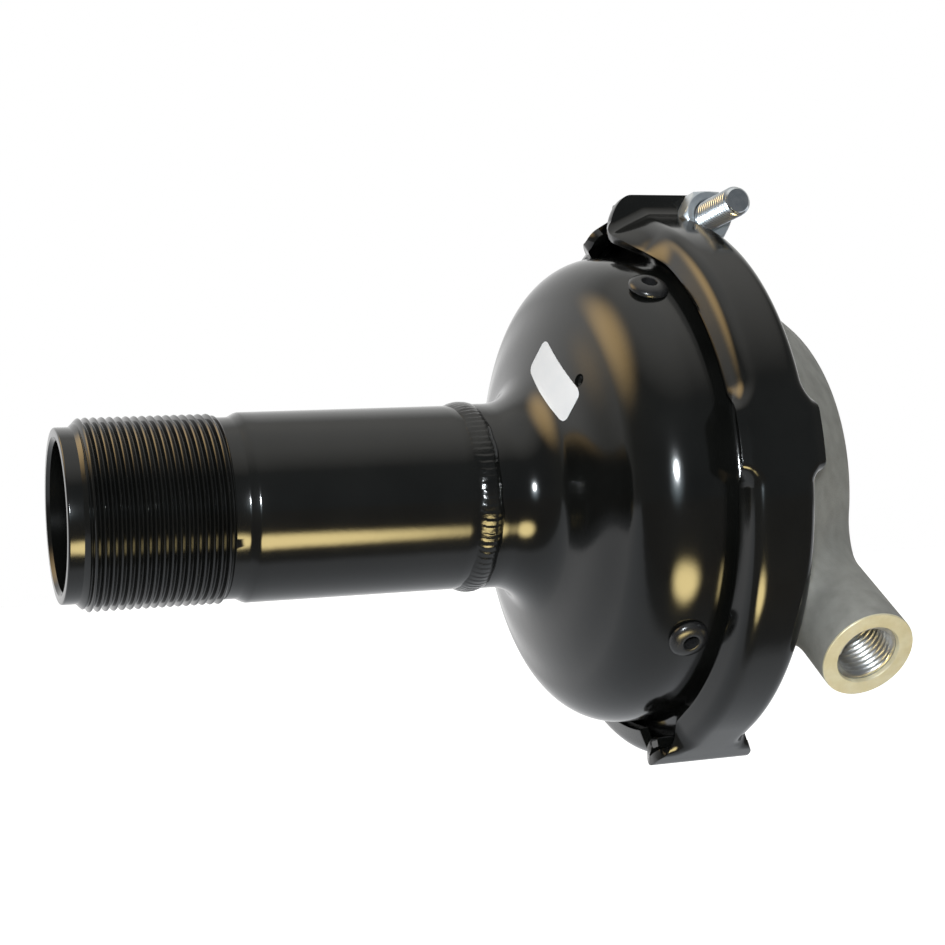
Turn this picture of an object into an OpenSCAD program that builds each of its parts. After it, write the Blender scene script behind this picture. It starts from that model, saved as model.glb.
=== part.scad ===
// Pretensioning cylinder: a diaphragm cylinder on a long threaded tube.
// The main axis is X. The tube points to -X and the pressure housing to +X, with Z up.
// The origin is on the axis, at the inner end of the mounting thread.
// Angles round the axis are counted from +Z towards -Y.

/* [Threaded tube] */
// Outside diameter of the plain tube
tube_d = 48.3; // [46:0.1:54]
// Wall thickness of the tube
tube_wall = 5.4; // [4.8:0.1:7]
// How far the mounting thread's crests lie below the plain tube
thread_step = 0.15; // [0:0.05:0.5]
// Length of full thread
thread_len = 34; // [24:1:44]
// How far the smooth nose ahead of the thread lies below its crests
pilot_drop = 2.2; // [1.6:0.1:3]
// Length of the smooth nose
pilot_len = 3.8; // [2:0.2:6]
// How far the bottom of the thread's relief groove lies below its crests
groove_drop = 0.9; // [0.5:0.1:1.4]
// Width of the relief groove
groove_w = 3.5; // [2:0.5:6]
// Length from the end of the thread to the middle of the weld
tube_len = 65; // [50:1:110]

/* [Weld] */
// Width of the weld bead along the tube
weld_w = 6; // [4:0.5:8]
// How far the bead stands over the tube
weld_crown = 0.8; // [0.4:0.1:1.5]

/* [Spring housing] */
// Thickness of the drawn sheet
sheet = 3; // [2:0.5:4]
// How far the neck that the tube is welded to stands out past the tube
neck_step = 0.25; // [0.1:0.05:1.8]
// Straight length of the neck
neck_len = 7; // [5:1:20]
// Outer radius of the bend from the neck into the face
neck_fillet = 12; // [8:1:16]
// Lean of the sloping face from the plane across the axis, in degrees
face_lean = 19.7; // [10:0.5:28]
// Outer radius of the bend from the face into the skirt
knuckle_r = 17; // [12:1:24]
// Outside diameter of the skirt
dome_d = 125.4; // [118:0.2:126]
// Length from the end of the knuckle to the joint face between the two housings
skirt_len = 16.3; // [14:0.5:30]

/* [Vent plugs] */
// Number of vent plugs round the knuckle
vent_count = 4;
// Angle of the first vent plug
vent_angle = 35; // [0:1:89]
// Diameter of a plug's head
vent_head_d = 10.4; // [9:0.2:12]
// Height of a plug's head over the sheet
vent_head_h = 2.1; // [1.5:0.1:3]
// Diameter of the hole for a plug
vent_hole_d = 7.6; // [6:0.2:8]
// Diameter of the vent hole in a plug
vent_bore_d = 4.8; // [3:0.2:5]

/* [Label] */
// Length of the label, round the axis
label_l = 26.6; // [20:0.2:30]
// Width of the label, along the sloping face
label_w = 10; // [8:0.2:14]
// Corner radius of the label
label_r = 2.4; // [1:0.2:4]
// Distance of the label's centre from the axis
label_centre_r = 35.5; // [34:0.5:42]
// Angle of the label
label_angle = 34.5; // [0:0.5:90]
// Diameter of the drain hole beside the label
drain_d = 3.2; // [2:0.2:5]
// Distance of the drain hole from the axis
drain_r = 43; // [42:0.5:50]
// Angle of the drain hole
drain_angle = 48; // [0:1:90]

/* [Rims and clamp band] */
// How far both rims stand out past the skirt
rim_out = 5.3; // [4.6:0.1:5.8]
// Lean of the rims' wedge faces from the plane across the axis, in degrees
wedge_lean = 27.2; // [22:0.2:32]
// Space between the rims and the inside of the clamp band's crown
band_gap = 2; // [1.8:0.1:2.8]
// Thickness of the band's sheet
band_t = 2.5; // [2:0.1:3]
// Half of the width of the band's flat crown
crown_half = 5.5; // [5:0.1:6.5]
// Slant length of a band flange
flange_len = 7.6; // [6:0.1:8]
// Width of the flattened stretch in the middle of each band half
pad_w = 24; // [22:0.5:26]
// Place of the front half's flattened stretch, as an angle from the top
pad_angle = 79; // [76:1:88]
// Width of the plates at the bolted end
ear_w = 33; // [32:0.5:34]
// Height of those plates
ear_h = 14; // [12:0.5:15]
// Corner radius of those plates
ear_r = 5; // [3:0.5:6]
// Width of the hooked end
hook_w = 28; // [26:1:32]

/* [Clamp bolt] */
// Diameter of the clamp bolt
bolt_d = 8; // [6:1:8]
// Width across the flats of its nut and head
bolt_af = 13; // [12:0.5:14]
// Thickness of the nut
nut_h = 6.5; // [5:0.5:8]
// Length of bolt that shows past the nut
bolt_out = 16.5; // [8:0.5:20]
// Distance of the bolt from the joint face, along the main axis
bolt_x = 11; // [10:0.1:11.4]
// Distance of the bolt below the outside of the band, at the upright plane through the axis
bolt_drop = 1.5; // [0:0.5:2]
// Upward tilt of the bolt towards its nut, in degrees
bolt_tilt = 6; // [0:1:8]

/* [Pressure housing] */
// Depth from the joint face to the flat back
cover_depth = 36.8; // [36:0.2:42]
// How much the foot of the cone stands out past the skirt
cover_step = 0.3; // [0:0.1:0.3]
// Fall of the cone's radius from its foot to the flat back, up to the start of its bend
cone_drop = 27.5; // [25.5:0.5:29]
// Outer radius of the bend into the back
cover_r = 14; // [10:1:16]
// Wall thickness
cover_wall = 4; // [3:0.5:5]
// Air space behind the diaphragm at rest
air_space = 5; // [4:0.5:8]

/* [Air port] */
// Outside diameter of the port's boss
boss_d = 25.2; // [22:0.2:26]
// How far the boss's machined face stands out past the rims
boss_out = 10.9; // [6:0.1:18]
// Distance of the port from the joint face, along the main axis
boss_x = 23.6; // [22:0.1:25]
// Angle of the port
boss_angle = 122; // [100:0.1:140]
// Diameter of the port's thread
port_d = 16; // [12:0.5:16]
// Depth of full thread
port_len = 14; // [10:1:16]
// Diameter of the passage from the thread into the housing
passage_d = 9; // [6:0.5:10]

/* [Diaphragm and push rod] */
// Thickness of the diaphragm
diaphragm_t = 3; // [2:0.2:3.6]
// How far the pressure plate reaches past the start of the housing's bend
plate_over = 4; // [2.5:0.5:4.5]
// Thickness of the pressure plate
plate_t = 3; // [2:0.2:4]
// Depth of the dish in the middle of the plate
dish = 5; // [4:0.5:6]
// Diameter of the push rod
rod_d = 18; // [14:0.5:20]
// Distance from the tube's open end to the tip of the push rod at rest
rod_inset = 18; // [14:1:24]
// Diameter of the rod's end piece
tip_d = 24; // [20:1:28]
// Length of the rod's end piece
tip_len = 14; // [10:1:18]
// Length of the guide bush
bush_len = 20; // [12:1:26]

/* [Return spring] */
// Diameter of the spring wire
wire_d = 4; // [3:0.2:4.6]
// Number of turns
turns = 5; // [4:0.5:6]
// Mean diameter of the spring at its wide end, on the plate
spring_wide_d = 66; // [60:1:66]
// Mean diameter of the spring at its narrow end
spring_narrow_d = 49; // [48:0.5:52]

/* [Hidden] */
$fn = 96;
RUNNING = 0.06;   // radial clearance of a sliding fit
SEAT = 0.3;       // gap between pieces that rest on each other
CUT = 1;          // how far a cut runs past the face that it opens
HOLE = 0.6;       // how much larger the bolt's holes are than the bolt
PRESS = 0.1;      // step left where the press flattens the band

// Diameters that follow the tube's
tube_bore_d = tube_d - 2 * tube_wall;
thread_d = tube_d - 2 * thread_step;
pilot_d = thread_d - 2 * pilot_drop;
groove_d = thread_d - 2 * groove_drop;
neck_d = tube_d + 2 * neck_step;

// Places along the main axis
lead_in = (thread_d - pilot_d) / 2;
mouth_x = -(thread_len + lead_in + pilot_len);
weld_x = tube_len;
fillet_x = weld_x + neck_len;
fillet_c = [fillet_x, neck_d / 2 + neck_fillet];
along = [sin(face_lean), cos(face_lean)];
outward = [-cos(face_lean), sin(face_lean)];
face_start = fillet_c - neck_fillet * outward;
knuckle_cr = dome_d / 2 - knuckle_r;
face_len = (knuckle_cr + knuckle_r * sin(face_lean) - face_start[1]) / cos(face_lean);
knuckle_c = face_start + face_len * along - knuckle_r * outward;
joint_x = knuckle_c[0] + skirt_len;
back_x = joint_x + cover_depth;

// Wedge section of the two rims, and of the band that grips them
rim_r = dome_d / 2 + rim_out;
band_r = rim_r + band_gap + band_t;
bolt_r = band_r - bolt_drop;
wedge_slope = tan(wedge_lean);
flange_drop = flange_len * cos(wedge_lean);
flange_out = flange_len * sin(wedge_lean);
wedge_half = crown_half - band_t * cos(wedge_lean);
wedge_top_r = band_r - band_t * sin(wedge_lean);
function wedge_x(r) = wedge_half + (wedge_top_r - r) * wedge_slope - SEAT;

// Outside of the pressure housing: a cone from the rim's foot, tangent to the bend into the back
cone_foot_r = dome_d / 2 + cover_step;
cover_foot = [joint_x + wedge_x(cone_foot_r) + 0.6, cone_foot_r];
cover_c = [back_x - cover_r, cone_foot_r - cone_drop];
cover_run = cover_c - cover_foot;
cone_normal = 90 + atan2(cover_run[1], cover_run[0]) + asin(cover_r / norm(cover_run));
cone_out = [cos(cone_normal), sin(cone_normal)];
cover_mouth = cover_foot - cover_wall * cone_out;
boss_reach = rim_r + boss_out;

// Diaphragm, plate and rod at rest; the diaphragm's cone lies along the housing's
dia_gap = 0.5;
dia_bend = 8;
dia_back = back_x - cover_wall - air_space;
dia_foot = cover_foot - (cover_wall + dia_gap) * cone_out;
dia_c = [dia_back - dia_bend,
    (cone_out * cover_foot - (cover_wall + dia_gap + dia_bend) - cone_out[0] * (dia_back - dia_bend)) / cone_out[1]];
dia_front = dia_back - diaphragm_t;
plate_back = dia_front - SEAT;
plate_front = plate_back - plate_t;
rod_end = mouth_x + rod_inset;
spigot_d = 12;
nut_t = 4;
bush_x = 22;
seal_w = 5;
clip_w = 1.6;

// Spring seat, which rests on the inside of the sloping face
seat_r = 34;
seat_t = 2;
inner_face = face_start - sheet * outward;
seat_x = inner_face[0] + (seat_r - inner_face[1]) * tan(face_lean) + SEAT;
collar_h = 3.5;

// Bolted end of the clamp band
ear_face = 9.5;      // front face of the front plate, from the upright plane through the axis
rear_ear_face = 2.5; // rear face of the rear plate, behind that plane
hook_face = 15;      // far face of the front half's hook, from the same plane
hook_angle = 149;    // where the front half leaves its circle for the hook
tongue_r = band_r - 1.5;
tongue_w = 16;

// Weld groove: both edges are bevelled down to this radius
root_r = max(tube_bore_d, neck_d - 2 * sheet) / 2 + 0.5;

// Turns an outline of [x, radius] points round the main axis
module turned(outline) {
    rotate([0, 90, 0])
        rotate_extrude()
            polygon([for (p = outline) [p[1], p[0]]]);
}

// Carries a shape that stands at +Z round the axis to an angle
module at_angle(angle) {
    rotate([angle, 0, 0]) children();
}

// Points on an arc in the [x, radius] plane
function arc(centre, r, from, to, steps) =
    [for (i = [0:steps]) let (a = from + (to - from) * i / steps) centre + r * [cos(a), sin(a)]];

function smooth(t) = let (u = min(max(t, 0), 1)) u * u * (3 - 2 * u);

// Tube, with its thread drawn as a plain cylinder at the crests
module threaded_tube() {
    edge = 0.8;
    bore_r = tube_bore_d / 2;
    tube_r = tube_d / 2;
    groove_r = groove_d / 2;
    color("#17181a")
    difference() {
        turned([[mouth_x, bore_r + edge], [mouth_x, pilot_d / 2 - edge / 2], [mouth_x + edge / 2, pilot_d / 2],
            [mouth_x + pilot_len, pilot_d / 2], [-thread_len, thread_d / 2], [0, thread_d / 2],
            [thread_d / 2 - groove_r, groove_r], [groove_w, groove_r],
            [groove_w + 2 * (tube_r - groove_r), tube_r],
            [weld_x - weld_w / 2, tube_r], [weld_x, root_r], [weld_x, bore_r], [mouth_x + edge, bore_r]]);
        turned([[bush_x - clip_w - SEAT, bore_r - CUT], [bush_x - clip_w - SEAT, bore_r + 1],
            [bush_x - SEAT, bore_r + 1], [bush_x - SEAT, bore_r - CUT]]);
    }
}

// Ring weld that fills the groove between the tube and the neck
module weld_bead() {
    color("#1b1c1e")
    turned([[weld_x - weld_w / 2, tube_d / 2],
        [weld_x - weld_w / 3, tube_d / 2 + 0.7 * weld_crown],
        [weld_x - weld_w / 8, tube_d / 2 + weld_crown],
        [weld_x + weld_w / 8, neck_d / 2 + 0.8 * weld_crown],
        [weld_x + weld_w / 3, neck_d / 2 + 0.5 * weld_crown],
        [weld_x + weld_w / 2, neck_d / 2], [weld_x, root_r]]);
}

// Outside of the spring housing, from the neck to the foot of the rim, as [x, radius] points
function dome_outside(grow) = concat(
    [[weld_x + weld_w / 2, neck_d / 2 + grow]],
    arc(fillet_c, neck_fillet - grow, -90, -face_lean, 12),
    arc(knuckle_c, knuckle_r + grow, 180 - face_lean, 90, 20));

module spring_housing() {
    foot_r = dome_d / 2;
    hole_x = vent_x();
    color("#151618")
    difference() {
        turned(concat([[weld_x, neck_d / 2 - sheet], [weld_x, root_r]], dome_outside(0),
            [[joint_x - wedge_x(foot_r + 1) - 2, foot_r], [joint_x - wedge_x(foot_r + 1) - 0.6, foot_r + 0.3],
                [joint_x - wedge_x(foot_r + 1), foot_r + 1],
                [joint_x - wedge_x(rim_r - 0.6), rim_r - 0.6], [joint_x - wedge_x(rim_r - 0.6) + 0.7, rim_r],
                [joint_x - diaphragm_t / 2, rim_r], [joint_x - diaphragm_t / 2, foot_r - sheet],
                [knuckle_c[0], foot_r - sheet]],
            arc(knuckle_c, knuckle_r - sheet, 90, 180 - face_lean, 20),
            arc(fillet_c, neck_fillet + sheet, -face_lean, -90, 12)));
        for (i = [0:vent_count - 1])
            at_angle(vent_angle + i * 360 / vent_count)
                translate([hole_x, 0, foot_r - sheet - CUT])
                    cylinder(d = vent_hole_d, h = sheet + 2 * CUT);
        at_angle(drain_angle)
            on_face(drain_r)
                translate([0, 0, -1.2]) cylinder(d = drain_d, h = 1.2 + CUT, $fn = 32);
    }
}

// Place of the vent plugs along the axis, just before the widest part of the dome
function vent_x() = knuckle_c[0] - 1.2;

// Stands a shape on the sloping face, with its Z along the face's normal, at a distance from the axis
module on_face(r) {
    x = face_start[0] + (r - face_start[1]) * tan(face_lean);
    translate([x, 0, r])
        rotate([0, face_lean - 90, 0]) children();
}

// Rubber vent plug with a domed head, a stem through the sheet and a vent hole
module vent_plug(angle) {
    head_r = vent_head_d / 2;
    stem_r = vent_hole_d / 2 - RUNNING;
    top_z = dome_d / 2 + vent_head_h;
    under_z = dome_d / 2 + 0.05;
    color("#101112")
    at_angle(angle)
        translate([vent_x(), 0, 0])
            rotate_extrude($fn = 48)
                polygon(concat(
                    [[vent_bore_d / 2, dome_d / 2 - sheet - 1], [stem_r, dome_d / 2 - sheet - 1],
                        [stem_r, under_z], [head_r - 0.3, under_z]],
                    [for (i = [0:6]) let (a = 15 * i)
                        [head_r - 1.7 + 1.7 * cos(a), under_z + 0.2 + (top_z - under_z - 0.2) * sin(a)]],
                    [[vent_bore_d / 2 + 0.4, top_z], [vent_bore_d / 2, top_z - 0.4]]));
}

// Blank paper label on the sloping face
module label() {
    label_t = 0.16;
    color("#eef0f2")
    intersection() {
        turned(concat(dome_outside(0), [for (i = [len(dome_outside(0)) - 1:-1:0]) dome_outside(label_t)[i]]));
        at_angle(label_angle)
            on_face(label_centre_r)
                translate([0, 0, -4])
                    linear_extrude(8)
                        rounded_rectangle(label_w, label_l, label_r);
    }
}

module rounded_rectangle(width, length, r) {
    square([width - 2 * r, length], center = true);
    square([width, length - 2 * r], center = true);
    for (x = [-1, 1], y = [-1, 1])
        translate([x * (width / 2 - r), y * (length / 2 - r)]) circle(r, $fn = 32);
}

// Ring that carries the narrow end of the return spring, with a collar that centres it
module spring_seat() {
    collar_r = (spring_narrow_d - wire_d) / 2 - SEAT;
    color("#b9bbb8")
    turned([[seat_x, collar_r - 2], [seat_x, seat_r], [seat_x + seat_t, seat_r], [seat_x + seat_t, collar_r],
        [seat_x + seat_t + collar_h, collar_r], [seat_x + seat_t + collar_h, collar_r - 2]]);
}

// Conical return spring, swept along its helix, with its end turns lying flat
module return_spring() {
    from = seat_x + seat_t + wire_d / 2 + 0.1;
    to = plate_front - wire_d / 2 - 0.1;
    rings = round(turns * 20);
    color("#8e9092")
    sweep([for (i = [0:rings])
        let (t = i / rings, a = t * turns * 360,
            rise = smooth((t * turns - 0.75) / (turns - 1.5)) * 0.35
                + min(max((t * turns - 0.75) / (turns - 1.5), 0), 1) * 0.65,
            x = from + (to - from) * rise,
            r = (spring_narrow_d + (spring_wide_d - spring_narrow_d) * t) / 2)
        [for (k = [0:7]) let (b = 45 * k, q = r + wire_d / 2 * cos(b))
            [x + wire_d / 2 * sin(b), -q * sin(a), q * cos(a)]]]);
}

// Closed solid through a list of rings that have the same number of points
module sweep(rings) {
    n = len(rings[0]);
    m = len(rings);
    polyhedron(
        points = [for (ring = rings, p = ring) p],
        faces = concat(
            [for (i = [0:m - 2], k = [0:n - 1]) let (j = (k + 1) % n)
                [i * n + k, (i + 1) * n + k, (i + 1) * n + j]],
            [for (i = [0:m - 2], k = [0:n - 1]) let (j = (k + 1) % n)
                [i * n + k, (i + 1) * n + j, i * n + j]],
            [[for (k = [0:n - 1]) k]],
            [[for (k = [n - 1:-1:0]) (m - 1) * n + k]]),
        convexity = 10);
}

// Push rod, with a spigot at each end
module push_rod() {
    color("#a8aaac")
    turned([[rod_end + 5, 0], [rod_end + 5, spigot_d / 2], [rod_end + tip_len, spigot_d / 2],
        [rod_end + tip_len, rod_d / 2], [plate_front - dish, rod_d / 2], [plate_front - dish, spigot_d / 2],
        [plate_back - dish + nut_t, spigot_d / 2], [plate_back - dish + nut_t, 0]]);
}

// End piece that pushes on the brake, with a ball socket in its face
module rod_tip() {
    socket_r = 7;
    socket_h = 4;
    bore_r = spigot_d / 2 + RUNNING;
    color("#8a8d90")
    turned(concat(
        [for (i = [0:8]) let (a = 90 * i / 8) [rod_end + socket_h * cos(a), socket_r * sin(a)]],
        [[rod_end, tip_d / 2 - 1.5], [rod_end + 1.5, tip_d / 2], [rod_end + tip_len, tip_d / 2],
            [rod_end + tip_len, bore_r], [rod_end + 5 - RUNNING, bore_r], [rod_end + 5 - RUNNING, 0]]));
}

// Dished plate that the diaphragm pushes on
module pressure_plate() {
    flat_r = rod_d / 2 + 6;
    slope = dish * 1.2;
    plate_r = cover_c[1] + plate_over;
    bore_r = spigot_d / 2 + RUNNING;
    color("#9fa19d")
    turned([[plate_front - dish, bore_r], [plate_front - dish, flat_r + 1], [plate_front, flat_r + slope + 1],
        [plate_front, plate_r - 4], [plate_front - 2, plate_r - 2], [plate_front - 3, plate_r - 1],
        [plate_front - 2, plate_r], [plate_back - 1.5, plate_r], [plate_back, plate_r - 1.5],
        [plate_back, flat_r + slope], [plate_back - dish, flat_r], [plate_back - dish, bore_r]]);
}

// Thin hexagon nut in the dish of the plate
module plate_nut() {
    color("#b7bab8")
    translate([plate_back - dish, 0, 0])
        rotate([0, 90, 0])
            difference() {
                cylinder(d = 18 / cos(30), h = nut_t, $fn = 6);
                translate([0, 0, -CUT]) cylinder(d = spigot_d + 2 * RUNNING, h = nut_t + 2 * CUT);
            }
}

// Plastic bush that guides the rod in the tube
module guide_bush() {
    outer_r = tube_bore_d / 2 - RUNNING;
    inner_r = rod_d / 2 + RUNNING;
    color("#d8d2bd")
    turned([[bush_x, inner_r + 0.8], [bush_x, outer_r - 0.8], [bush_x + 0.8, outer_r],
        [bush_x + bush_len, outer_r], [bush_x + bush_len, outer_r - 3], [bush_x + bush_len - 4, outer_r - 3.6],
        [bush_x + bush_len - 4, inner_r + 3.2], [bush_x + bush_len, inner_r + 2.6],
        [bush_x + bush_len, inner_r], [bush_x + 0.8, inner_r]]);
}

// Spring clip in the tube's groove, which keeps the bush from sliding out
module bush_clip() {
    clip_r = tube_bore_d / 2 + 1 - RUNNING;
    color("#6f7275")
    difference() {
        turned([[bush_x - clip_w - SEAT / 2, clip_r - 3.6], [bush_x - clip_w - SEAT / 2, clip_r],
            [bush_x - SEAT / 2 - 0.2, clip_r], [bush_x - SEAT / 2 - 0.2, clip_r - 3.6]]);
        translate([bush_x - 3 * clip_w, -3, 0]) cube([6 * clip_w, 6, 2 * clip_r]);
    }
}

// Lip seal that wipes the rod, behind the bush
module rod_seal() {
    outer_r = tube_bore_d / 2 - RUNNING;
    inner_r = rod_d / 2 + RUNNING;
    start = bush_x + bush_len + SEAT;
    color("#242526")
    turned([[start, inner_r + 1.6], [start, outer_r], [start + seal_w, outer_r], [start + seal_w, outer_r - 2],
        [start + 2, outer_r - 2.6], [start + 2, inner_r + 3], [start + seal_w, inner_r],
        [start + seal_w - 1.2, inner_r]]);
}

// Rubber diaphragm, gripped between the rims and lying back in the pressure housing
module diaphragm() {
    half_t = diaphragm_t / 2 - 0.05;
    grip_r = dia_foot[1];
    color("#1c1c1d")
    turned(concat(
        [[joint_x - half_t, grip_r - diaphragm_t], [joint_x - half_t, rim_r - 1.5], [joint_x + half_t, rim_r - 1.5],
            [joint_x + half_t, grip_r], [dia_foot[0], grip_r]],
        arc(dia_c, dia_bend, cone_normal, 0, 10),
        [[dia_back, 0], [dia_front, 0]],
        arc(dia_c, dia_bend - diaphragm_t, 0, cone_normal, 10),
        [[dia_foot[0] - diaphragm_t * cone_out[0], grip_r - diaphragm_t * cone_out[1]]]));
}

// Solid of revolution of the pressure housing, before its cavity is cut
module cover_body() {
    foot = cover_foot;
    step = [foot[0] - 0.6, foot[1] + 0.4];
    turned(concat([[joint_x + diaphragm_t / 2, 0], [joint_x + diaphragm_t / 2, rim_r],
            [joint_x + wedge_x(rim_r - 0.6) - 0.7, rim_r], [joint_x + wedge_x(rim_r - 0.6), rim_r - 0.6], step, foot],
        arc(cover_c, cover_r, cone_normal, 0, 14), [[back_x, 0]]));
}

// Cast pressure housing with the boss of the air port
module pressure_housing() {
    boss_r = boss_d / 2;
    port_r = port_d / 2;
    heel_r = cover_c[1] + cover_r - 2 * cover_wall;
    lead = 1.2;
    color("#85867f")
    difference() {
        union() {
            cover_body();
            at_angle(boss_angle)
                translate([joint_x + boss_x, 0, 0]) {
                    translate([0, 0, heel_r]) cylinder(r = boss_r, h = boss_reach - heel_r - 0.6);
                    translate([0, 0, boss_reach - 0.6]) cylinder(r1 = boss_r, r2 = boss_r - 0.6, h = 0.6);
                    translate([0, 0, heel_r]) sphere(boss_r);
                }
        }
        turned(concat([[joint_x - CUT, 0], [joint_x - CUT, cover_mouth[1]], cover_mouth],
            arc(cover_c, cover_r - cover_wall, cone_normal, 0, 14), [[back_x - cover_wall, 0]]));
        at_angle(boss_angle)
            translate([joint_x + boss_x, 0, 0]) {
                translate([0, 0, boss_reach - lead]) cylinder(r1 = port_r, r2 = port_r + lead, h = lead);
                translate([0, 0, boss_reach]) cylinder(r = port_r + lead, h = CUT);
                translate([0, 0, boss_reach - lead - port_len]) cylinder(r = port_r, h = port_len);
                translate([0, 0, heel_r]) cylinder(d = passage_d, h = boss_reach - heel_r - lead - port_len + 0.01);
            }
    }
}

// Folded section of the band's sheet, as [x, radius] points, drawn in by a skin on all its faces
function band_section(skin = 0) =
    let (inner = wedge_half - 0.3, tip = [crown_half + flange_out, band_r - flange_drop],
        across = [cos(wedge_lean), sin(wedge_lean)],
        up = skin * [-sin(wedge_lean), cos(wedge_lean)],
        right = [[crown_half - 0.4 - skin, band_r - skin], [crown_half, band_r - 0.4] - skin * across,
            tip - skin * across + up, tip - (band_t - skin) * across + up,
            [wedge_half, wedge_top_r] + skin * across, [inner, band_r - band_t + skin]])
    concat(right, [for (i = [len(right) - 1:-1:0]) [-right[i][0], right[i][1]]]);

// Section of the flattened sheet, of any width
function flat_section(width) =
    let (top = band_r - PRESS)
    [[-width / 2, top - band_t], [-width / 2, top], [width / 2, top], [width / 2, top - band_t]];

// Part of a ring between two angles, of a section in [x, radius] points, centred on the joint plane
module ring_part(outline, from, to) {
    translate([joint_x, 0, 0])
        at_angle(from)
            rotate([0, 90, 0])
                rotate([0, 0, 180])
                    rotate_extrude(angle = to - from)
                        polygon([for (p = outline) [p[1], p[0]]]);
}

// Straight run of a section from inside the ring towards the bolted end
module straight_run(outline, angle, run) {
    at_angle(angle)
        translate([joint_x, run, 0])
            rotate([90, 0, 0])
                linear_extrude(run + 0.6) polygon(outline);
}

// Flat sheet that widens from the crown to the width of the plate at the bolted end
module flare(angle, run) {
    at_angle(angle)
        translate([joint_x, 0, band_r - band_t])
            linear_extrude(band_t)
                polygon([[-crown_half + 1, 1], [-ear_w / 2 + 0.5, run - 3], [-ear_w / 2 + 0.5, run],
                    [ear_w / 2 - 0.5, run], [ear_w / 2 - 0.5, run - 3], [crown_half - 1, 1]]);
}

// Ring of one half: folded band on both sides of its flattened pad
module band_ring(from, to, pad) {
    half_pad = 8;
    ring_part(band_section(), from, pad - half_pad + 1);
    ring_part(flat_section(pad_w), pad - half_pad, pad + half_pad);
    ring_part(band_section(), pad + half_pad - 1, to);
}

// Room for both rims under the plates at the bolted end
module rim_room() {
    translate([joint_x - 10, 0, 0]) rotate([0, 90, 0]) cylinder(r = rim_r + 1, h = 20);
}

// Front half: bolted end, ring with its pad, and the hook that the other half hangs in
module clamp_band_front() {
    start = 20;
    run = (band_r * sin(start) - ear_face + band_t / 2) / cos(start);
    out = [sin(hook_angle), cos(hook_angle)];
    dir = [cos(hook_angle), -sin(hook_angle)];
    bend = 4;
    hook_r = band_r - PRESS;
    leave = hook_r * out;
    low_run = (leave[0] - hook_face - bend - bend * out[0]) / -dir[0];
    bend_c = leave + low_run * dir - bend * out;
    slot_z = -(sqrt(tongue_r * tongue_r - hook_face * hook_face) + SEAT);
    color("#141517")
    difference() {
        union() {
            band_ring(start, hook_angle - 0.4, pad_angle);
            at_angle(hook_angle)
                translate([joint_x, 1.2, 0])
                    rotate([90, 0, 0])
                        linear_extrude(1.2 + 0.62 * low_run) polygon(band_section(PRESS / 2));
            straight_run(band_section(PRESS / 2), start, run - nut_h - 2.5);
            flare(start, run);
            difference() {
                bolt_frame() translate([0, 0, ear_face]) ear_plate();
                rim_room();
            }
            difference() {
                translate([joint_x - hook_w / 2, 0, 0])
                    rotate([90, 0, 90])
                        linear_extrude(hook_w)
                            polygon([for (p = concat(
                                [for (a = [hook_angle - 1.5:0.75:hook_angle]) hook_r * [sin(a), cos(a)]],
                                [for (i = [0:8]) let (a = hook_angle + (270 - hook_angle) * i / 8)
                                    bend_c + bend * [sin(a), cos(a)]],
                                [[hook_face, bend_c[1] + 2.6], [hook_face + band_t, bend_c[1] + 2.6]],
                                [for (i = [8:-1:0]) let (a = hook_angle + (270 - hook_angle) * i / 8)
                                    bend_c + (bend - band_t) * [sin(a), cos(a)]],
                                [for (a = [hook_angle:-0.75:hook_angle - 1.5]) (hook_r - band_t) * [sin(a), cos(a)]]))
                                [-p[0], p[1]]]);
                for (side = [-1, 1])
                    at_angle(hook_angle)
                        translate([joint_x, 0, band_r - 2 * band_t])
                            linear_extrude(3 * band_t)
                                polygon([for (p = [[crown_half - 0.6, 14], [hook_w / 2 + 1, 14],
                                    [hook_w / 2 + 1, 1 - low_run], [hook_w / 2 - 0.4, 1 - low_run],
                                    [crown_half + flange_out + 0.4, -0.42 * low_run], [crown_half - 0.6, 1]])
                                    [side * p[0], p[1]]]);
            }
        }
        bolt_frame() {
            translate([bolt_x, 0, ear_face - 2 * band_t]) cylinder(d = bolt_d + HOLE, h = 50);
            translate([bolt_x, 0, ear_face]) cylinder(r = bolt_af / 2 + 1.6, h = nut_h + 1);
        }
        // Slot in the hook for the other half's tongue
        translate([joint_x - tongue_w / 2 - SEAT, -hook_face - band_t - 1.5, slot_z])
            cube([tongue_w + 2 * SEAT, band_t + 3, 12]);
    }
}

// Rear half: bolted end, ring with its pad, and the tongue that hangs in the hook
module clamp_band_rear() {
    start = 12;
    run = (band_r * sin(start) - rear_ear_face + band_t / 2) / cos(start);
    head_from = asin((hook_face + band_t + SEAT) / tongue_r);
    tongue = [[-tongue_w / 2, tongue_r - band_t], [-tongue_w / 2, tongue_r],
        [tongue_w / 2, tongue_r], [tongue_w / 2, tongue_r - band_t]];
    color("#141517")
    difference() {
        union() {
            mirror([0, 1, 0]) {
                band_ring(start, 184, 95);
                straight_run(band_section(PRESS / 2), start, run - nut_h - 2.5);
                flare(start, run);
            }
            difference() {
                bolt_frame() translate([0, 0, -rear_ear_face + band_t]) ear_plate();
                rim_room();
            }
            ring_part(tongue, 180 - head_from - 3, 180);
            ring_part([for (p = tongue) [p[0] * (hook_w - 3) / tongue_w, p[1]]], 180 - head_from - 3, 180 - head_from);
        }
        bolt_frame()
            translate([bolt_x, 0, -rear_ear_face - 30]) cylinder(d = bolt_d + HOLE, h = 60);
        bolt_frame()
            translate([bolt_x, 0, -rear_ear_face - 8]) cylinder(r = bolt_af / 2 + 1.6, h = 8);
    }
}

// Frame of the bolt: X along the main axis and Z along the bolt towards its nut
module bolt_frame() {
    translate([joint_x, 0, bolt_r])
        rotate([90 - bolt_tilt, 0, 0]) children();
}

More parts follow.
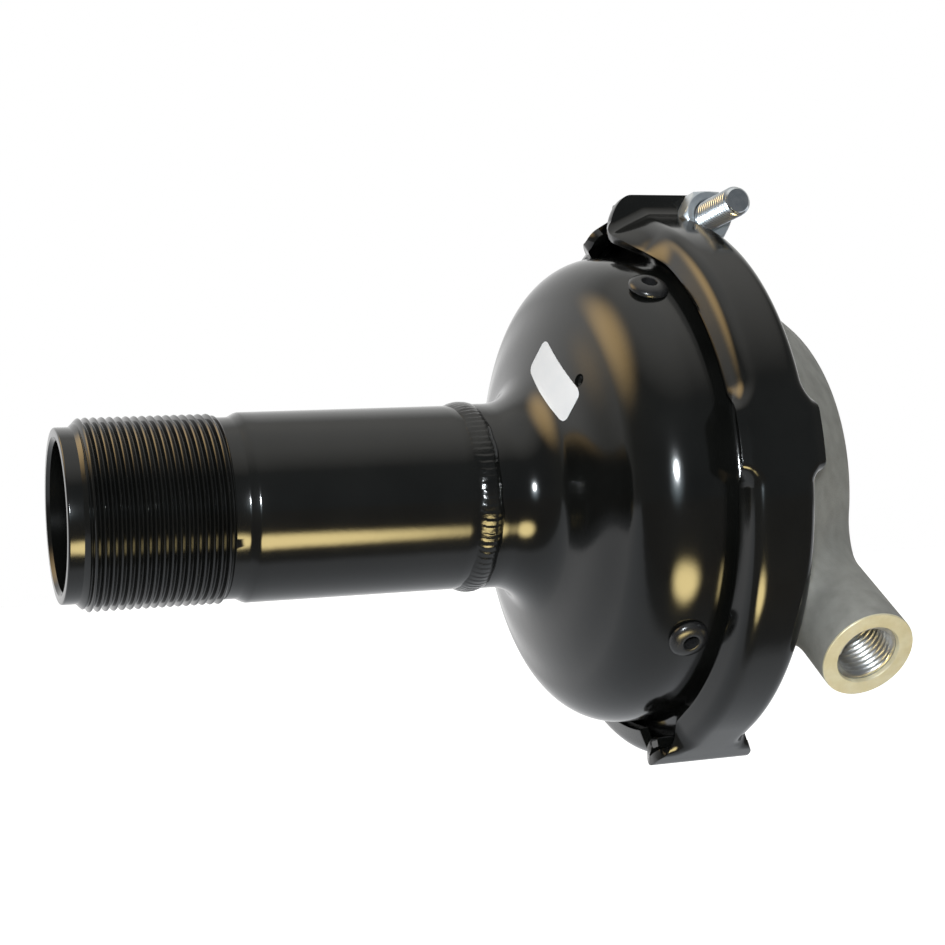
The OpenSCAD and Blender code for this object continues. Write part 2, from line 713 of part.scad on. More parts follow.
// Upright plate at the bolted end, with its front face at Z = 0
module ear_plate() {
    translate([0, 0, -band_t])
        linear_extrude(band_t)
            rounded_rectangle(ear_w, ear_h, ear_r);
}

// Hexagon bolt, with its head behind the rear plate
module clamp_bolt() {
    head_h = 5.3;
    shank = rear_ear_face + SEAT / 2 + ear_face + nut_h + bolt_out;
    chamfer = 1;
    color("#c3c8cc")
    bolt_frame()
        translate([bolt_x, 0, -rear_ear_face - SEAT / 2]) {
            translate([0, 0, -head_h]) cylinder(d = bolt_af / cos(30), h = head_h, $fn = 6);
            cylinder(d = bolt_d, h = shank - chamfer);
            translate([0, 0, shank - chamfer])
                cylinder(d1 = bolt_d, d2 = bolt_d - 2 * chamfer, h = chamfer);
        }
}

module clamp_nut() {
    color("#c3c8cc")
    bolt_frame()
        translate([bolt_x, 0, ear_face + SEAT / 2])
            difference() {
                intersection() {
                    cylinder(d = bolt_af / cos(30), h = nut_h, $fn = 6);
                    rotate_extrude($fn = 48)
                        polygon([[0, 0], [bolt_af / 2 - 0.2, 0], [bolt_af / 2 + 1.2, 0.8],
                            [bolt_af / 2 + 1.2, nut_h - 0.8], [bolt_af / 2 - 0.2, nut_h], [0, nut_h]]);
                }
                translate([0, 0, -CUT]) cylinder(d = bolt_d + 2 * RUNNING, h = nut_h + 2 * CUT);
            }
}

threaded_tube();
weld_bead();
spring_housing();
vent_plug(vent_angle);  // vent_plug_upper_front
vent_plug(vent_angle + 90);  // vent_plug_lower_front
vent_plug(vent_angle + 180);  // vent_plug_lower_rear
vent_plug(vent_angle + 270);  // vent_plug_upper_rear
label();
spring_seat();
return_spring();
push_rod();
rod_tip();
pressure_plate();
plate_nut();
guide_bush();
rod_seal();
bush_clip();
diaphragm();
pressure_housing();
clamp_band_front();
clamp_band_rear();
clamp_bolt();
clamp_nut();
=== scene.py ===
import math

import bmesh
import bpy
from bpy.props import FloatProperty, FloatVectorProperty, IntProperty, PointerProperty
from mathutils import Matrix, Vector, noise


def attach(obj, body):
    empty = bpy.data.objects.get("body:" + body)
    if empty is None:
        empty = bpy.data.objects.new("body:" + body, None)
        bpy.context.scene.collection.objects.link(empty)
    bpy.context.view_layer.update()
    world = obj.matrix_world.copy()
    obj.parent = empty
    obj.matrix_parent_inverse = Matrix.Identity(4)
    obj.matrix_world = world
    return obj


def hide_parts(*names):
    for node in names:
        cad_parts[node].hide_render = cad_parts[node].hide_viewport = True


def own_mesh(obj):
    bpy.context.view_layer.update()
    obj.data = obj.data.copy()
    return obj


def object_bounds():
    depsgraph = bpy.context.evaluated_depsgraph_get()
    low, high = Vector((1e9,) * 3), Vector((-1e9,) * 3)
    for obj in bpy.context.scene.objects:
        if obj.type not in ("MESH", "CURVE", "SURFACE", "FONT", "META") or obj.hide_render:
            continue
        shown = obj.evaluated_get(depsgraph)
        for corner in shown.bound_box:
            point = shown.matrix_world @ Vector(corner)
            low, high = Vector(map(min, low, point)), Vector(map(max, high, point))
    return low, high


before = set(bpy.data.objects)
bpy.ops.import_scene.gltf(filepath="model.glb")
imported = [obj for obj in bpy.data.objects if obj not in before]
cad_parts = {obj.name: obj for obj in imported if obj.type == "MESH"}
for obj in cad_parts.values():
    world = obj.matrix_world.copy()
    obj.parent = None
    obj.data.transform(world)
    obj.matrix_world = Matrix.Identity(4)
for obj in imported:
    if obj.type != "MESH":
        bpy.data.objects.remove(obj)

bl_info = {
    "name": "Diaphragm cylinder",
    "version": (1, 0, 0),
    "blender": (4, 5, 0),
    "location": "3D View > Sidebar > Cylinder",
    "description": "Dresses the diaphragm cylinder with its threads, weld, band, casting and finishes",
    "category": "Object",
}

BODY = "cylinder"
CAD_BOX = [list(v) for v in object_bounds()]

# Places along the main axis and the radii of the turned pieces, in millimetres, in the part's own frame
THREAD_LEN = 34.0
PILOT_R, PILOT_LEN = 21.8, 3.8
THREAD_R = 24.0
LEAD_IN = THREAD_R - PILOT_R
MOUTH_X = -(THREAD_LEN + LEAD_IN + PILOT_LEN)
GROOVE_R, GROOVE_W = 23.1, 3.5
TUBE_R, BORE_R = 24.15, 18.75
WELD_X, WELD_W = 65.0, 6.0
NECK_R, FILLET_R, LEAN = 24.4, 12.0, math.radians(19.7)
KNUCKLE_R, DOME_R, SKIRT = 17.0, 62.7, 16.3
FILLET_C = (WELD_X + 7.0, NECK_R + FILLET_R)
FACE_START = (FILLET_C[0] + FILLET_R * math.cos(LEAN), FILLET_C[1] - FILLET_R * math.sin(LEAN))
KNUCKLE_CR = DOME_R - KNUCKLE_R
FACE_LEN = (KNUCKLE_CR + KNUCKLE_R * math.sin(LEAN) - FACE_START[1]) / math.cos(LEAN)
KNUCKLE_X = FACE_START[0] + FACE_LEN * math.sin(LEAN) + KNUCKLE_R * math.cos(LEAN)
JOINT_X = KNUCKLE_X + SKIRT
RIM_R = 68.0
VENT_X = KNUCKLE_X - 1.2
VENT_ANGLES = (35, 125, 215, 305)
VENT_NODES = ("vent_plug_upper_front", "vent_plug_lower_front", "vent_plug_lower_rear", "vent_plug_upper_rear")
BAND_R, BAND_T = 72.5, 2.5
COVER_DEPTH, COVER_FOOT_R, COVER_BACK_R, COVER_BEND, COVER_WALL = 36.8, 63.0, 35.5, 14.0, 4.0
BOSS_R, BOSS_REACH, BOSS_X, BOSS_ANGLE = 12.25, 78.9, JOINT_X + 23.6, math.radians(122)
BOLT_X, BOLT_R, BOLT_TILT = JOINT_X + 11.0, 71.0, math.radians(6)
EAR_FACE, REAR_EAR_FACE, NUT_H, NUT_AF, BOLT_D, BOLT_OUT = 9.5, 2.5, 6.5, 13.0, 8.0, 16.5
SEAT = 0.3


def mm(v):
    """A point in millimetres as a vector in metres."""
    return Vector(v) / 1000


def turned_point(x, r, angle):
    """Point at a distance x along the axis, a radius and an angle counted from +Z towards -Y."""
    return (x, -r * math.sin(angle), r * math.cos(angle))


def smooth(t):
    t = min(max(t, 0.0), 1.0)
    return t * t * (3 - 2 * t)


def arc(centre, r, start, stop, steps):
    """Points on an arc in the plane of the axis and the radius, with angles in degrees."""
    out = []
    for i in range(steps + 1):
        a = math.radians(start + (stop - start) * i / steps)
        out.append((centre[0] + r * math.cos(a), centre[1] + r * math.sin(a)))
    return out


# Mesh helpers

def add_object(name, verts, faces, material, smooth_angle=30.0):
    """Makes a piece from points in millimetres, merges its doubles and turns its faces outwards."""
    mesh = bpy.data.meshes.new(name)
    mesh.from_pydata([tuple(mm(v)) for v in verts], [], faces)
    return finish_mesh(name, mesh, material, smooth_angle)


def finish_mesh(name, mesh, material, smooth_angle=30.0):
    bm = bmesh.new()
    bm.from_mesh(mesh)
    bmesh.ops.remove_doubles(bm, verts=bm.verts, dist=2e-6)
    bmesh.ops.dissolve_degenerate(bm, edges=bm.edges, dist=1e-6)
    bmesh.ops.recalc_face_normals(bm, faces=bm.faces)
    bm.to_mesh(mesh)
    bm.free()
    mesh.shade_smooth()
    mesh.set_sharp_from_angle(angle=math.radians(smooth_angle))
    mesh.materials.clear()
    mesh.materials.append(material)
    obj = bpy.data.objects.new(name, mesh)
    bpy.context.scene.collection.objects.link(obj)
    return obj


def revolve(profile, segments=192, closed=True, start=0.0):
    """Verts and quads of a closed [x, radius] outline turned round the main axis."""
    n = len(profile)
    verts = [turned_point(x, r, start + 2 * math.pi * j / segments) for j in range(segments) for x, r in profile]
    faces = []
    for j in range(segments):
        k = (j + 1) % segments
        for i in range(n if closed else n - 1):
            m = (i + 1) % n
            faces.append((j * n + i, j * n + m, k * n + m, k * n + i))
    return verts, faces


def dense(profile, step=2.0):
    """Adds points to the long straight runs of an outline, so that shading has nothing to stretch over."""
    out = []
    for (x0, r0), (x1, r1) in zip(profile, profile[1:] + profile[:1]):
        count = max(1, int(math.hypot(x1 - x0, r1 - r0) / step))
        out += [(x0 + (x1 - x0) * k / count, r0 + (r1 - r0) * k / count) for k in range(count)]
    return out


def moved(verts, matrix):
    return [tuple(matrix @ Vector(v)) for v in verts]


def bolt_matrix(along=0.0):
    """Frame of the clamp bolt: Z runs along the bolt towards its nut, in millimetres."""
    return (Matrix.Translation((BOLT_X, 0, BOLT_R)) @ Matrix.Rotation(math.radians(90) - BOLT_TILT, 4, "X")
            @ Matrix.Translation((0, 0, along)))


def boss_matrix():
    """Frame of the port's boss: Z runs out of its mouth, in millimetres."""
    return Matrix.Translation((BOSS_X, 0, 0)) @ Matrix.Rotation(BOSS_ANGLE, 4, "X")


def about_z(profile, segments=96):
    """Verts and quads of a closed [radius, z] outline turned round Z."""
    n = len(profile)
    verts = [(r * math.cos(2 * math.pi * j / segments), r * math.sin(2 * math.pi * j / segments), z)
             for j in range(segments) for r, z in profile]
    faces = [(j * n + i, j * n + (i + 1) % n, ((j + 1) % segments) * n + (i + 1) % n, ((j + 1) % segments) * n + i)
             for j in range(segments) for i in range(n)]
    return verts, faces


def apply_booleans(obj, cutters, operation="DIFFERENCE"):
    """Cuts a piece with each cutter in turn, and throws the cutters away."""
    for cutter in cutters:
        mod = obj.modifiers.new("cut", "BOOLEAN")
        mod.operation, mod.solver, mod.object = operation, "EXACT", cutter
    flatten(obj)
    for cutter in cutters:
        bpy.data.objects.remove(cutter)
    return obj


def flatten(obj):
    """Turns a piece with modifiers into a plain mesh."""
    bpy.context.view_layer.update()
    graph = bpy.context.evaluated_depsgraph_get()
    mesh = bpy.data.meshes.new_from_object(obj.evaluated_get(graph), preserve_all_data_layers=True,
                                           depsgraph=graph)
    obj.modifiers.clear()
    old = obj.data
    obj.data = mesh
    bpy.data.meshes.remove(old)
    return obj


def dress(obj, body, slot, *nodes):
    """Hangs a piece on the empty of the body it rides on and hides the nodes it stands for; its finish, slot, is not
    used.
    """
    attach(obj, body)
    if nodes:
        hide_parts(*nodes)
    return obj


# Materials

def new_material(name, color, metallic=0.0, roughness=0.5, coat=0.0, coat_roughness=0.03, ior=1.5, sheen=0.0):
    mat = bpy.data.materials.new(name)
    mat.use_nodes = True
    shader = mat.node_tree.nodes["Principled BSDF"]
    shader.inputs["Base Color"].default_value = (*color, 1)
    shader.inputs["Metallic"].default_value = metallic
    shader.inputs["Roughness"].default_value = roughness
    shader.inputs["Coat Weight"].default_value = coat
    shader.inputs["Coat Roughness"].default_value = coat_roughness
    shader.inputs["IOR"].default_value = ior
    shader.inputs["Sheen Weight"].default_value = sheen
    return mat


def group_socket(tree, name, kind, direction, default=None):
    sock = tree.interface.new_socket(name, in_out=direction, socket_type=kind)
    if default is not None:
        sock.default_value = default
    return sock


def surface_group():
    """Shader group: uneven colour, gloss and height at two scales, from Object coordinates."""
    name = "Surface unevenness"
    if name in bpy.data.node_groups:
        return bpy.data.node_groups[name]
    tree = bpy.data.node_groups.new(name, "ShaderNodeTree")
    group_socket(tree, "Color", "NodeSocketColor", "INPUT", (0.5, 0.5, 0.5, 1))
    group_socket(tree, "Tint", "NodeSocketColor", "INPUT", (0.4, 0.4, 0.4, 1))
    group_socket(tree, "Scale", "NodeSocketFloat", "INPUT", 120.0)
    group_socket(tree, "Fine Scale", "NodeSocketFloat", "INPUT", 900.0)
    group_socket(tree, "Roughness", "NodeSocketFloat", "INPUT", 0.3)
    group_socket(tree, "Roughness Spread", "NodeSocketFloat", "INPUT", 0.1)
    group_socket(tree, "Fine Height", "NodeSocketFloat", "INPUT", 0.5)
    group_socket(tree, "Color", "NodeSocketColor", "OUTPUT")
    group_socket(tree, "Roughness", "NodeSocketFloat", "OUTPUT")
    group_socket(tree, "Height", "NodeSocketFloat", "OUTPUT")
    nodes, links = tree.nodes, tree.links
    inp, out = nodes.new("NodeGroupInput"), nodes.new("NodeGroupOutput")
    coord = nodes.new("ShaderNodeTexCoord")
    broad = nodes.new("ShaderNodeTexNoise")
    broad.inputs["Detail"].default_value = 4
    fine = nodes.new("ShaderNodeTexNoise")
    fine.inputs["Detail"].default_value = 3
    links.new(coord.outputs["Object"], broad.inputs["Vector"])
    links.new(coord.outputs["Object"], fine.inputs["Vector"])
    links.new(inp.outputs["Scale"], broad.inputs["Scale"])
    links.new(inp.outputs["Fine Scale"], fine.inputs["Scale"])
    mask = nodes.new("ShaderNodeMapRange")
    mask.inputs["From Min"].default_value = 0.35
    mask.inputs["From Max"].default_value = 0.7
    links.new(broad.outputs["Fac"], mask.inputs["Value"])
    mix = nodes.new("ShaderNodeMix")
    mix.data_type = "RGBA"
    links.new(mask.outputs["Result"], mix.inputs["Factor"])
    links.new(inp.outputs["Color"], mix.inputs["A"])
    links.new(inp.outputs["Tint"], mix.inputs["B"])
    links.new(mix.outputs["Result"], out.inputs["Color"])
    spread = nodes.new("ShaderNodeMath")
    spread.operation = "MULTIPLY_ADD"
    links.new(broad.outputs["Fac"], spread.inputs[0])
    links.new(inp.outputs["Roughness Spread"], spread.inputs[1])
    links.new(inp.outputs["Roughness"], spread.inputs[2])
    links.new(spread.outputs[0], out.inputs["Roughness"])
    height = nodes.new("ShaderNodeMath")
    height.operation = "MULTIPLY_ADD"
    links.new(fine.outputs["Fac"], height.inputs[0])
    links.new(inp.outputs["Fine Height"], height.inputs[1])
    links.new(broad.outputs["Fac"], height.inputs[2])
    links.new(height.outputs[0], out.inputs["Height"])
    return tree


def uneven(mat, color, tint, scale, fine, roughness, spread, bump, distance, fine_height=0.5):
    """Puts the unevenness group into a material."""
    nodes, links = mat.node_tree.nodes, mat.node_tree.links
    shader = nodes["Principled BSDF"]
    group = nodes.new("ShaderNodeGroup")
    group.node_tree = surface_group()
    for key, value in (("Color", (*color, 1)), ("Tint", (*tint, 1)), ("Scale", scale), ("Fine Scale", fine),
                       ("Roughness", roughness), ("Roughness Spread", spread), ("Fine Height", fine_height)):
        group.inputs[key].default_value = value
    links.new(group.outputs["Color"], shader.inputs["Base Color"])
    links.new(group.outputs["Roughness"], shader.inputs["Roughness"])
    if bump:
        node = nodes.new("ShaderNodeBump")
        node.inputs["Strength"].default_value = bump
        node.inputs["Distance"].default_value = distance
        links.new(group.outputs["Height"], node.inputs["Height"])
        links.new(node.outputs["Normal"], shader.inputs["Normal"])
        links.new(node.outputs["Normal"], shader.inputs["Coat Normal"])
    return mat


MATERIALS = {}


def make_materials(props):
    black = tuple(props.paint_color)
    grey = tuple(props.casting_color)
    m = MATERIALS
    m["paint"] = uneven(new_material("Gloss black paint", black, coat=0.0, ior=1.52), black,
                        tuple(c * 1.6 + 0.001 for c in black), 45, 900, 0.1, 0.06, 0.2, 0.0004, 0.06)
    m["weld"] = uneven(new_material("Painted weld", black, ior=1.52), black,
                       tuple(c * 1.5 + 0.002 for c in black), 300, 1500, 0.1, 0.08, 0.25, 0.0003)
    m["cast"] = uneven(new_material("Cast aluminium", grey, metallic=0.15), grey,
                        tuple(c * 0.8 for c in grey), 210, 1900, 0.5, 0.16, 0.3, 0.0003, 1.0)
    m["machined"] = uneven(new_material("Machined port face", (0.74, 0.7, 0.52), metallic=0.5), (0.76, 0.72, 0.54),
                           (0.66, 0.6, 0.4), 260, 2600, 0.36, 0.12, 0.1, 0.0001)
    m["zinc"] = uneven(new_material("Bright zinc", (0.5, 0.56, 0.6), metallic=0.85), (0.6, 0.65, 0.69),
                       (0.48, 0.53, 0.58), 420, 3000, 0.33, 0.12, 0.12, 0.0001)
    m["bolt"] = uneven(new_material("Zinc thread", (0.72, 0.76, 0.8), metallic=1.0), (0.74, 0.77, 0.8),
                       (0.55, 0.6, 0.65), 420, 3000, 0.16, 0.1, 0.08, 0.0001)
    m["thread"] = uneven(new_material("Bare thread", (0.6, 0.61, 0.62), metallic=1.0), (0.66, 0.67, 0.68),
                         (0.46, 0.45, 0.42), 320, 2400, 0.26, 0.12, 0.08, 0.0001)
    m["steel"] = uneven(new_material("Bare steel", (0.45, 0.45, 0.46), metallic=1.0), (0.48, 0.48, 0.49),
                        (0.36, 0.36, 0.37), 200, 2200, 0.28, 0.12, 0.08, 0.0001)
    m["spring"] = uneven(new_material("Oiled spring steel", (0.16, 0.16, 0.17), metallic=0.9), (0.18, 0.18, 0.19),
                         (0.1, 0.1, 0.11), 240, 2000, 0.3, 0.1, 0.06, 0.0001)
    m["rubber"] = uneven(new_material("Black rubber", (0.018, 0.018, 0.019), sheen=0.1), (0.018, 0.018, 0.019),
                         (0.03, 0.03, 0.031), 300, 1900, 0.48, 0.12, 0.12, 0.0002)
    m["plug"] = uneven(new_material("Vent plug", (0.013, 0.013, 0.014), ior=1.5), (0.013, 0.013, 0.014),
                       (0.02, 0.02, 0.02), 400, 2000, 0.2, 0.1, 0.05, 0.0002)
    m["bush"] = uneven(new_material("Bush plastic", (0.62, 0.58, 0.46)), (0.62, 0.58, 0.46),
                       (0.52, 0.48, 0.36), 200, 1800, 0.4, 0.1, 0.05, 0.0002)
    m["label"] = uneven(new_material("Label paper", (0.88, 0.88, 0.89)), (0.88, 0.88, 0.89),
                        (0.83, 0.84, 0.86), 130, 2600, 0.3, 0.1, 0.05, 0.0001)
    return m


# Geometry Nodes

def math_node(tree, operation, *values):
    node = tree.nodes.new("ShaderNodeMath")
    node.operation = operation
    for i, v in enumerate(values):
        if isinstance(v, (int, float)):
            node.inputs[i].default_value = v
        elif v is not None:
            tree.links.new(v, node.inputs[i])
    return node.outputs[0]


def thread_tree():
    """Geometry Nodes tree: the skin of a right-handed screw thread along +X, run out to smooth ends."""
    name = "Screw thread"
    if name in bpy.data.node_groups:
        return bpy.data.node_groups[name]
    tree = bpy.data.node_groups.new(name, "GeometryNodeTree")
    floats = (("Crest Radius", 0.024), ("Root Radius", 0.0226), ("Pitch", 0.002), ("Start", 0.0), ("Length", 0.034),
              ("Start Radius", 0.024), ("Start Slope", 1.0), ("End Radius", 0.024), ("End Slope", 1.0),
              ("Crest Share", 0.14), ("Root Share", 0.16))
    for label, value in floats:
        group_socket(tree, label, "NodeSocketFloat", "INPUT", value)
    group_socket(tree, "Rows", "NodeSocketInt", "INPUT", 100)
    group_socket(tree, "Rows per Pitch", "NodeSocketInt", "INPUT", 8)
    group_socket(tree, "Segments", "NodeSocketInt", "INPUT", 128)
    group_socket(tree, "Material", "NodeSocketMaterial", "INPUT")
    group_socket(tree, "Geometry", "NodeSocketGeometry", "OUTPUT")
    nodes, links = tree.nodes, tree.links
    inp, out = nodes.new("NodeGroupInput"), nodes.new("NodeGroupOutput")
    grid = nodes.new("GeometryNodeMeshGrid")
    grid.inputs["Size X"].default_value = 1
    grid.inputs["Size Y"].default_value = 1
    cols = math_node(tree, "ADD", inp.outputs["Segments"], 1)
    rows = math_node(tree, "ADD", inp.outputs["Rows"], 1)
    links.new(rows, grid.inputs["Vertices X"])
    links.new(cols, grid.inputs["Vertices Y"])
    pos = nodes.new("GeometryNodeInputPosition")
    split = nodes.new("ShaderNodeSeparateXYZ")
    links.new(pos.outputs[0], split.inputs[0])
    row = math_node(tree, "ROUND", math_node(tree, "MULTIPLY", math_node(tree, "ADD", split.outputs[0], 0.5),
                                             inp.outputs["Rows"]))
    turn = math_node(tree, "ADD", split.outputs[1], 0.5)
    steps = math_node(tree, "DIVIDE", row, inp.outputs["Rows per Pitch"])
    along = math_node(tree, "MULTIPLY", math_node(tree, "ADD", math_node(tree, "SUBTRACT", steps, 1), turn),
                      inp.outputs["Pitch"])
    along = math_node(tree, "MINIMUM", math_node(tree, "MAXIMUM", along, 0), inp.outputs["Length"])
    phase = math_node(tree, "FRACT", math_node(tree, "ADD", steps, 0.0001))
    # Height of the thread at this phase: 1 over the crest's share, 0 over the root's, straight flanks between
    away = math_node(tree, "ABSOLUTE", math_node(tree, "SUBTRACT", phase, 0.5))
    half_root = math_node(tree, "MULTIPLY", inp.outputs["Root Share"], 0.5)
    half_crest = math_node(tree, "MULTIPLY", inp.outputs["Crest Share"], 0.5)
    flank = math_node(tree, "SUBTRACT", 0.5, math_node(tree, "ADD", half_root, half_crest))
    height = math_node(tree, "DIVIDE", math_node(tree, "SUBTRACT", away, half_root), flank)
    height = math_node(tree, "MINIMUM", math_node(tree, "MAXIMUM", height, 0), 1)
    depth = math_node(tree, "SUBTRACT", inp.outputs["Crest Radius"], inp.outputs["Root Radius"])
    radius = math_node(tree, "ADD", inp.outputs["Root Radius"], math_node(tree, "MULTIPLY", depth, height))
    # Both ends are cut back by cones, so the thread starts and stops as a turned one does
    start = math_node(tree, "MULTIPLY_ADD", along, inp.outputs["Start Slope"], inp.outputs["Start Radius"])
    left = math_node(tree, "SUBTRACT", inp.outputs["Length"], along)
    end = math_node(tree, "MULTIPLY_ADD", left, inp.outputs["End Slope"], inp.outputs["End Radius"])
    radius = math_node(tree, "MINIMUM", radius, math_node(tree, "MINIMUM", start, end))
    angle = math_node(tree, "MULTIPLY", turn, 2 * math.pi)
    xyz = nodes.new("ShaderNodeCombineXYZ")
    links.new(math_node(tree, "ADD", along, inp.outputs["Start"]), xyz.inputs[0])
    links.new(math_node(tree, "MULTIPLY", math_node(tree, "MULTIPLY", math_node(tree, "SINE", angle), radius), -1),
              xyz.inputs[1])
    links.new(math_node(tree, "MULTIPLY", math_node(tree, "COSINE", angle), radius), xyz.inputs[2])
    place = nodes.new("GeometryNodeSetPosition")
    links.new(grid.outputs["Mesh"], place.inputs["Geometry"])
    links.new(xyz.outputs[0], place.inputs["Position"])
    real = nodes.new("GeometryNodeRealizeInstances")
    links.new(place.outputs[0], real.inputs[0])
    paint = nodes.new("GeometryNodeSetMaterial")
    links.new(real.outputs[0], paint.inputs["Geometry"])
    links.new(inp.outputs["Material"], paint.inputs["Material"])
    links.new(paint.outputs[0], out.inputs["Geometry"])
    return tree


def run_tree(tree, name, **values):
    """Evaluates a Geometry Nodes tree with its inputs set, and returns the plain mesh."""
    carrier = bpy.data.objects.new(name, bpy.data.meshes.new(name))
    bpy.context.scene.collection.objects.link(carrier)
    mod = carrier.modifiers.new(tree.name, "NODES")
    mod.node_group = tree
    ids = {s.name: s.identifier for s in tree.interface.items_tree
           if s.item_type == "SOCKET" and s.in_out == "INPUT"}
    for label, value in values.items():
        mod[ids[label.replace("_", " ")]] = value
    bpy.context.view_layer.update()
    graph = bpy.context.evaluated_depsgraph_get()
    mesh = bpy.data.meshes.new_from_object(carrier.evaluated_get(graph))
    bpy.data.objects.remove(carrier)
    return mesh


def mesh_data(mesh):
    """Points in millimetres and faces of a mesh."""
    return [tuple(v.co * 1000) for v in mesh.vertices], [tuple(p.vertices) for p in mesh.polygons]


def joined(*parts):
    """One list of points and one of faces from several."""
    verts, faces = [], []
    for v, f in parts:
        base = len(verts)
        verts += v
        faces += [tuple(i + base for i in face) for face in f]
    return verts, faces


# Pieces

def dome_outline():
    """Outside of the spring housing, from the weld to the rim's foot."""
    lean = math.degrees(LEAN)
    out = [(WELD_X + WELD_W / 2, NECK_R), (WELD_X + 5, NECK_R)]
    out += arc(FILLET_C, FILLET_R, -90, -lean, 24)
    end = (KNUCKLE_X - KNUCKLE_R * math.cos(LEAN), KNUCKLE_CR + KNUCKLE_R * math.sin(LEAN))
    crown = 0.35
    for i in range(1, 12):
        t = i / 12
        bulge = crown * math.sin(math.pi * t) ** 2
        out.append((FACE_START[0] + (end[0] - FACE_START[0]) * t - bulge * math.cos(LEAN),
                    FACE_START[1] + (end[1] - FACE_START[1]) * t + bulge * math.sin(LEAN)))
    out += arc((KNUCKLE_X, KNUCKLE_CR), KNUCKLE_R, 180 - lean, 90, 36)
    return out


def wedge_x(r):
    """Distance of a rim's wedge face from the joint plane at a radius."""
    lean = math.radians(27.2)
    half = 5.5 - BAND_T * math.cos(lean)
    top = BAND_R - BAND_T * math.sin(lean)
    return half + (top - r) * math.tan(lean) - SEAT


def face_point(r, angle, lift=0.0):
    """Point on the dome's sloping face and its outward direction."""
    outline = dome_outline()
    for (x0, r0), (x1, r1) in zip(outline, outline[1:]):
        if r0 <= r <= r1 and r1 > r0:
            t = (r - r0) / (r1 - r0)
            x = x0 + (x1 - x0) * t
            d = math.hypot(x1 - x0, r1 - r0)
            return (x - lift * (r1 - r0) / d, r + lift * (x1 - x0) / d)
    return (outline[-1][0], r + lift)


class CYL_OT_tube(bpy.types.Operator):
    """Threaded tube with its helical mounting thread, relief groove and bore"""
    bl_idname = "cylinder.tube"
    bl_label = "Threaded tube"

    def execute(self, context):
        props = context.scene.cylinder_sizes
        seg = props.turn_segments
        run = THREAD_LEN + LEAD_IN
        per = 10
        rows = int((run / props.thread_pitch_mm + 1) * per)
        skin = run_tree(thread_tree(), "thread", Crest_Radius=THREAD_R / 1000, Root_Radius=(THREAD_R - 1.3) / 1000,
                        Pitch=props.thread_pitch_mm / 1000, Start=-run / 1000, Length=run / 1000,
                        Start_Radius=PILOT_R / 1000, Start_Slope=1.0, End_Radius=(GROOVE_R - 0.1) / 1000,
                        End_Slope=0.9, Rows=rows, Rows_per_Pitch=per, Segments=seg, Material=MATERIALS["paint"])
        thread = mesh_data(skin)
        edge = 0.9
        outline = [(-run, PILOT_R), (MOUTH_X + 0.5, PILOT_R)] + arc((MOUTH_X + 0.5, PILOT_R - 0.5), 0.5, 100, 180, 4)
        outline += [(MOUTH_X, BORE_R + edge), (MOUTH_X + edge, BORE_R), (WELD_X, BORE_R), (WELD_X, TUBE_R - 1)]
        outline += [(WELD_X - WELD_W / 2 + 0.5, TUBE_R), (GROOVE_W + 2 * (TUBE_R - GROOVE_R) + 0.4, TUBE_R)]
        outline += [(GROOVE_W + 2 * (TUBE_R - GROOVE_R) - 0.2, TUBE_R - 0.12), (GROOVE_W + 0.3, GROOVE_R + 0.08),
                    (GROOVE_W - 0.3, GROOVE_R - 0.1), (0, GROOVE_R - 0.1)]
        open_outline = dense(outline, 3.0)
        open_outline = open_outline[:open_outline.index(outline[-1]) + 1]
        body = revolve(open_outline, seg, closed=False)
        verts, faces = joined(thread, body)
        obj = add_object("tube_with_thread", verts, faces, MATERIALS["paint"], 40)
        dress(obj, BODY, "gloss_black", "threaded_tube")
        return {"FINISHED"}


class CYL_OT_weld(bpy.types.Operator):
    """Ring weld with the ripples that its beads leave"""
    bl_idname = "cylinder.weld"
    bl_label = "Ring weld"

    def execute(self, context):
        props = context.scene.cylinder_sizes
        seg, across = 540, 18
        verts, faces = [], []
        for j in range(seg):
            a = 2 * math.pi * j / seg
            for i in range(across + 1):
                t = i / across
                u = 2 * t - 1
                x = WELD_X + WELD_W / 2 * u * (1.08 + 0.07 * math.sin(7 * a + 1.3) + 0.04 * math.sin(19 * a))
                base = TUBE_R + (NECK_R - TUBE_R) * smooth((u + 1) / 2)
                crown = props.weld_crown_mm * (1 - u * u) ** 0.8
                ripple = (a * props.weld_ripples / (2 * math.pi) + 0.38 * u * u) % 1.0
                step = 0.16 * (1 - ripple) * (1 - u * u)
                wave = 0.1 * noise.noise(Vector((math.cos(a) * 3, math.sin(a) * 3, u)))
                verts.append(turned_point(x, base + crown + step + wave * (1 - u * u) - 0.06, a))
            verts.append(turned_point(WELD_X, TUBE_R - 2.2, a))
        n = across + 2
        for j in range(seg):
            k = (j + 1) % seg
            for i in range(n):
                m = (i + 1) % n
                faces.append((j * n + i, j * n + m, k * n + m, k * n + i))
        obj = add_object("ring_weld", verts, faces, MATERIALS["weld"], 50)
        dress(obj, BODY, "weld_black", "weld_bead")
        return {"FINISHED"}


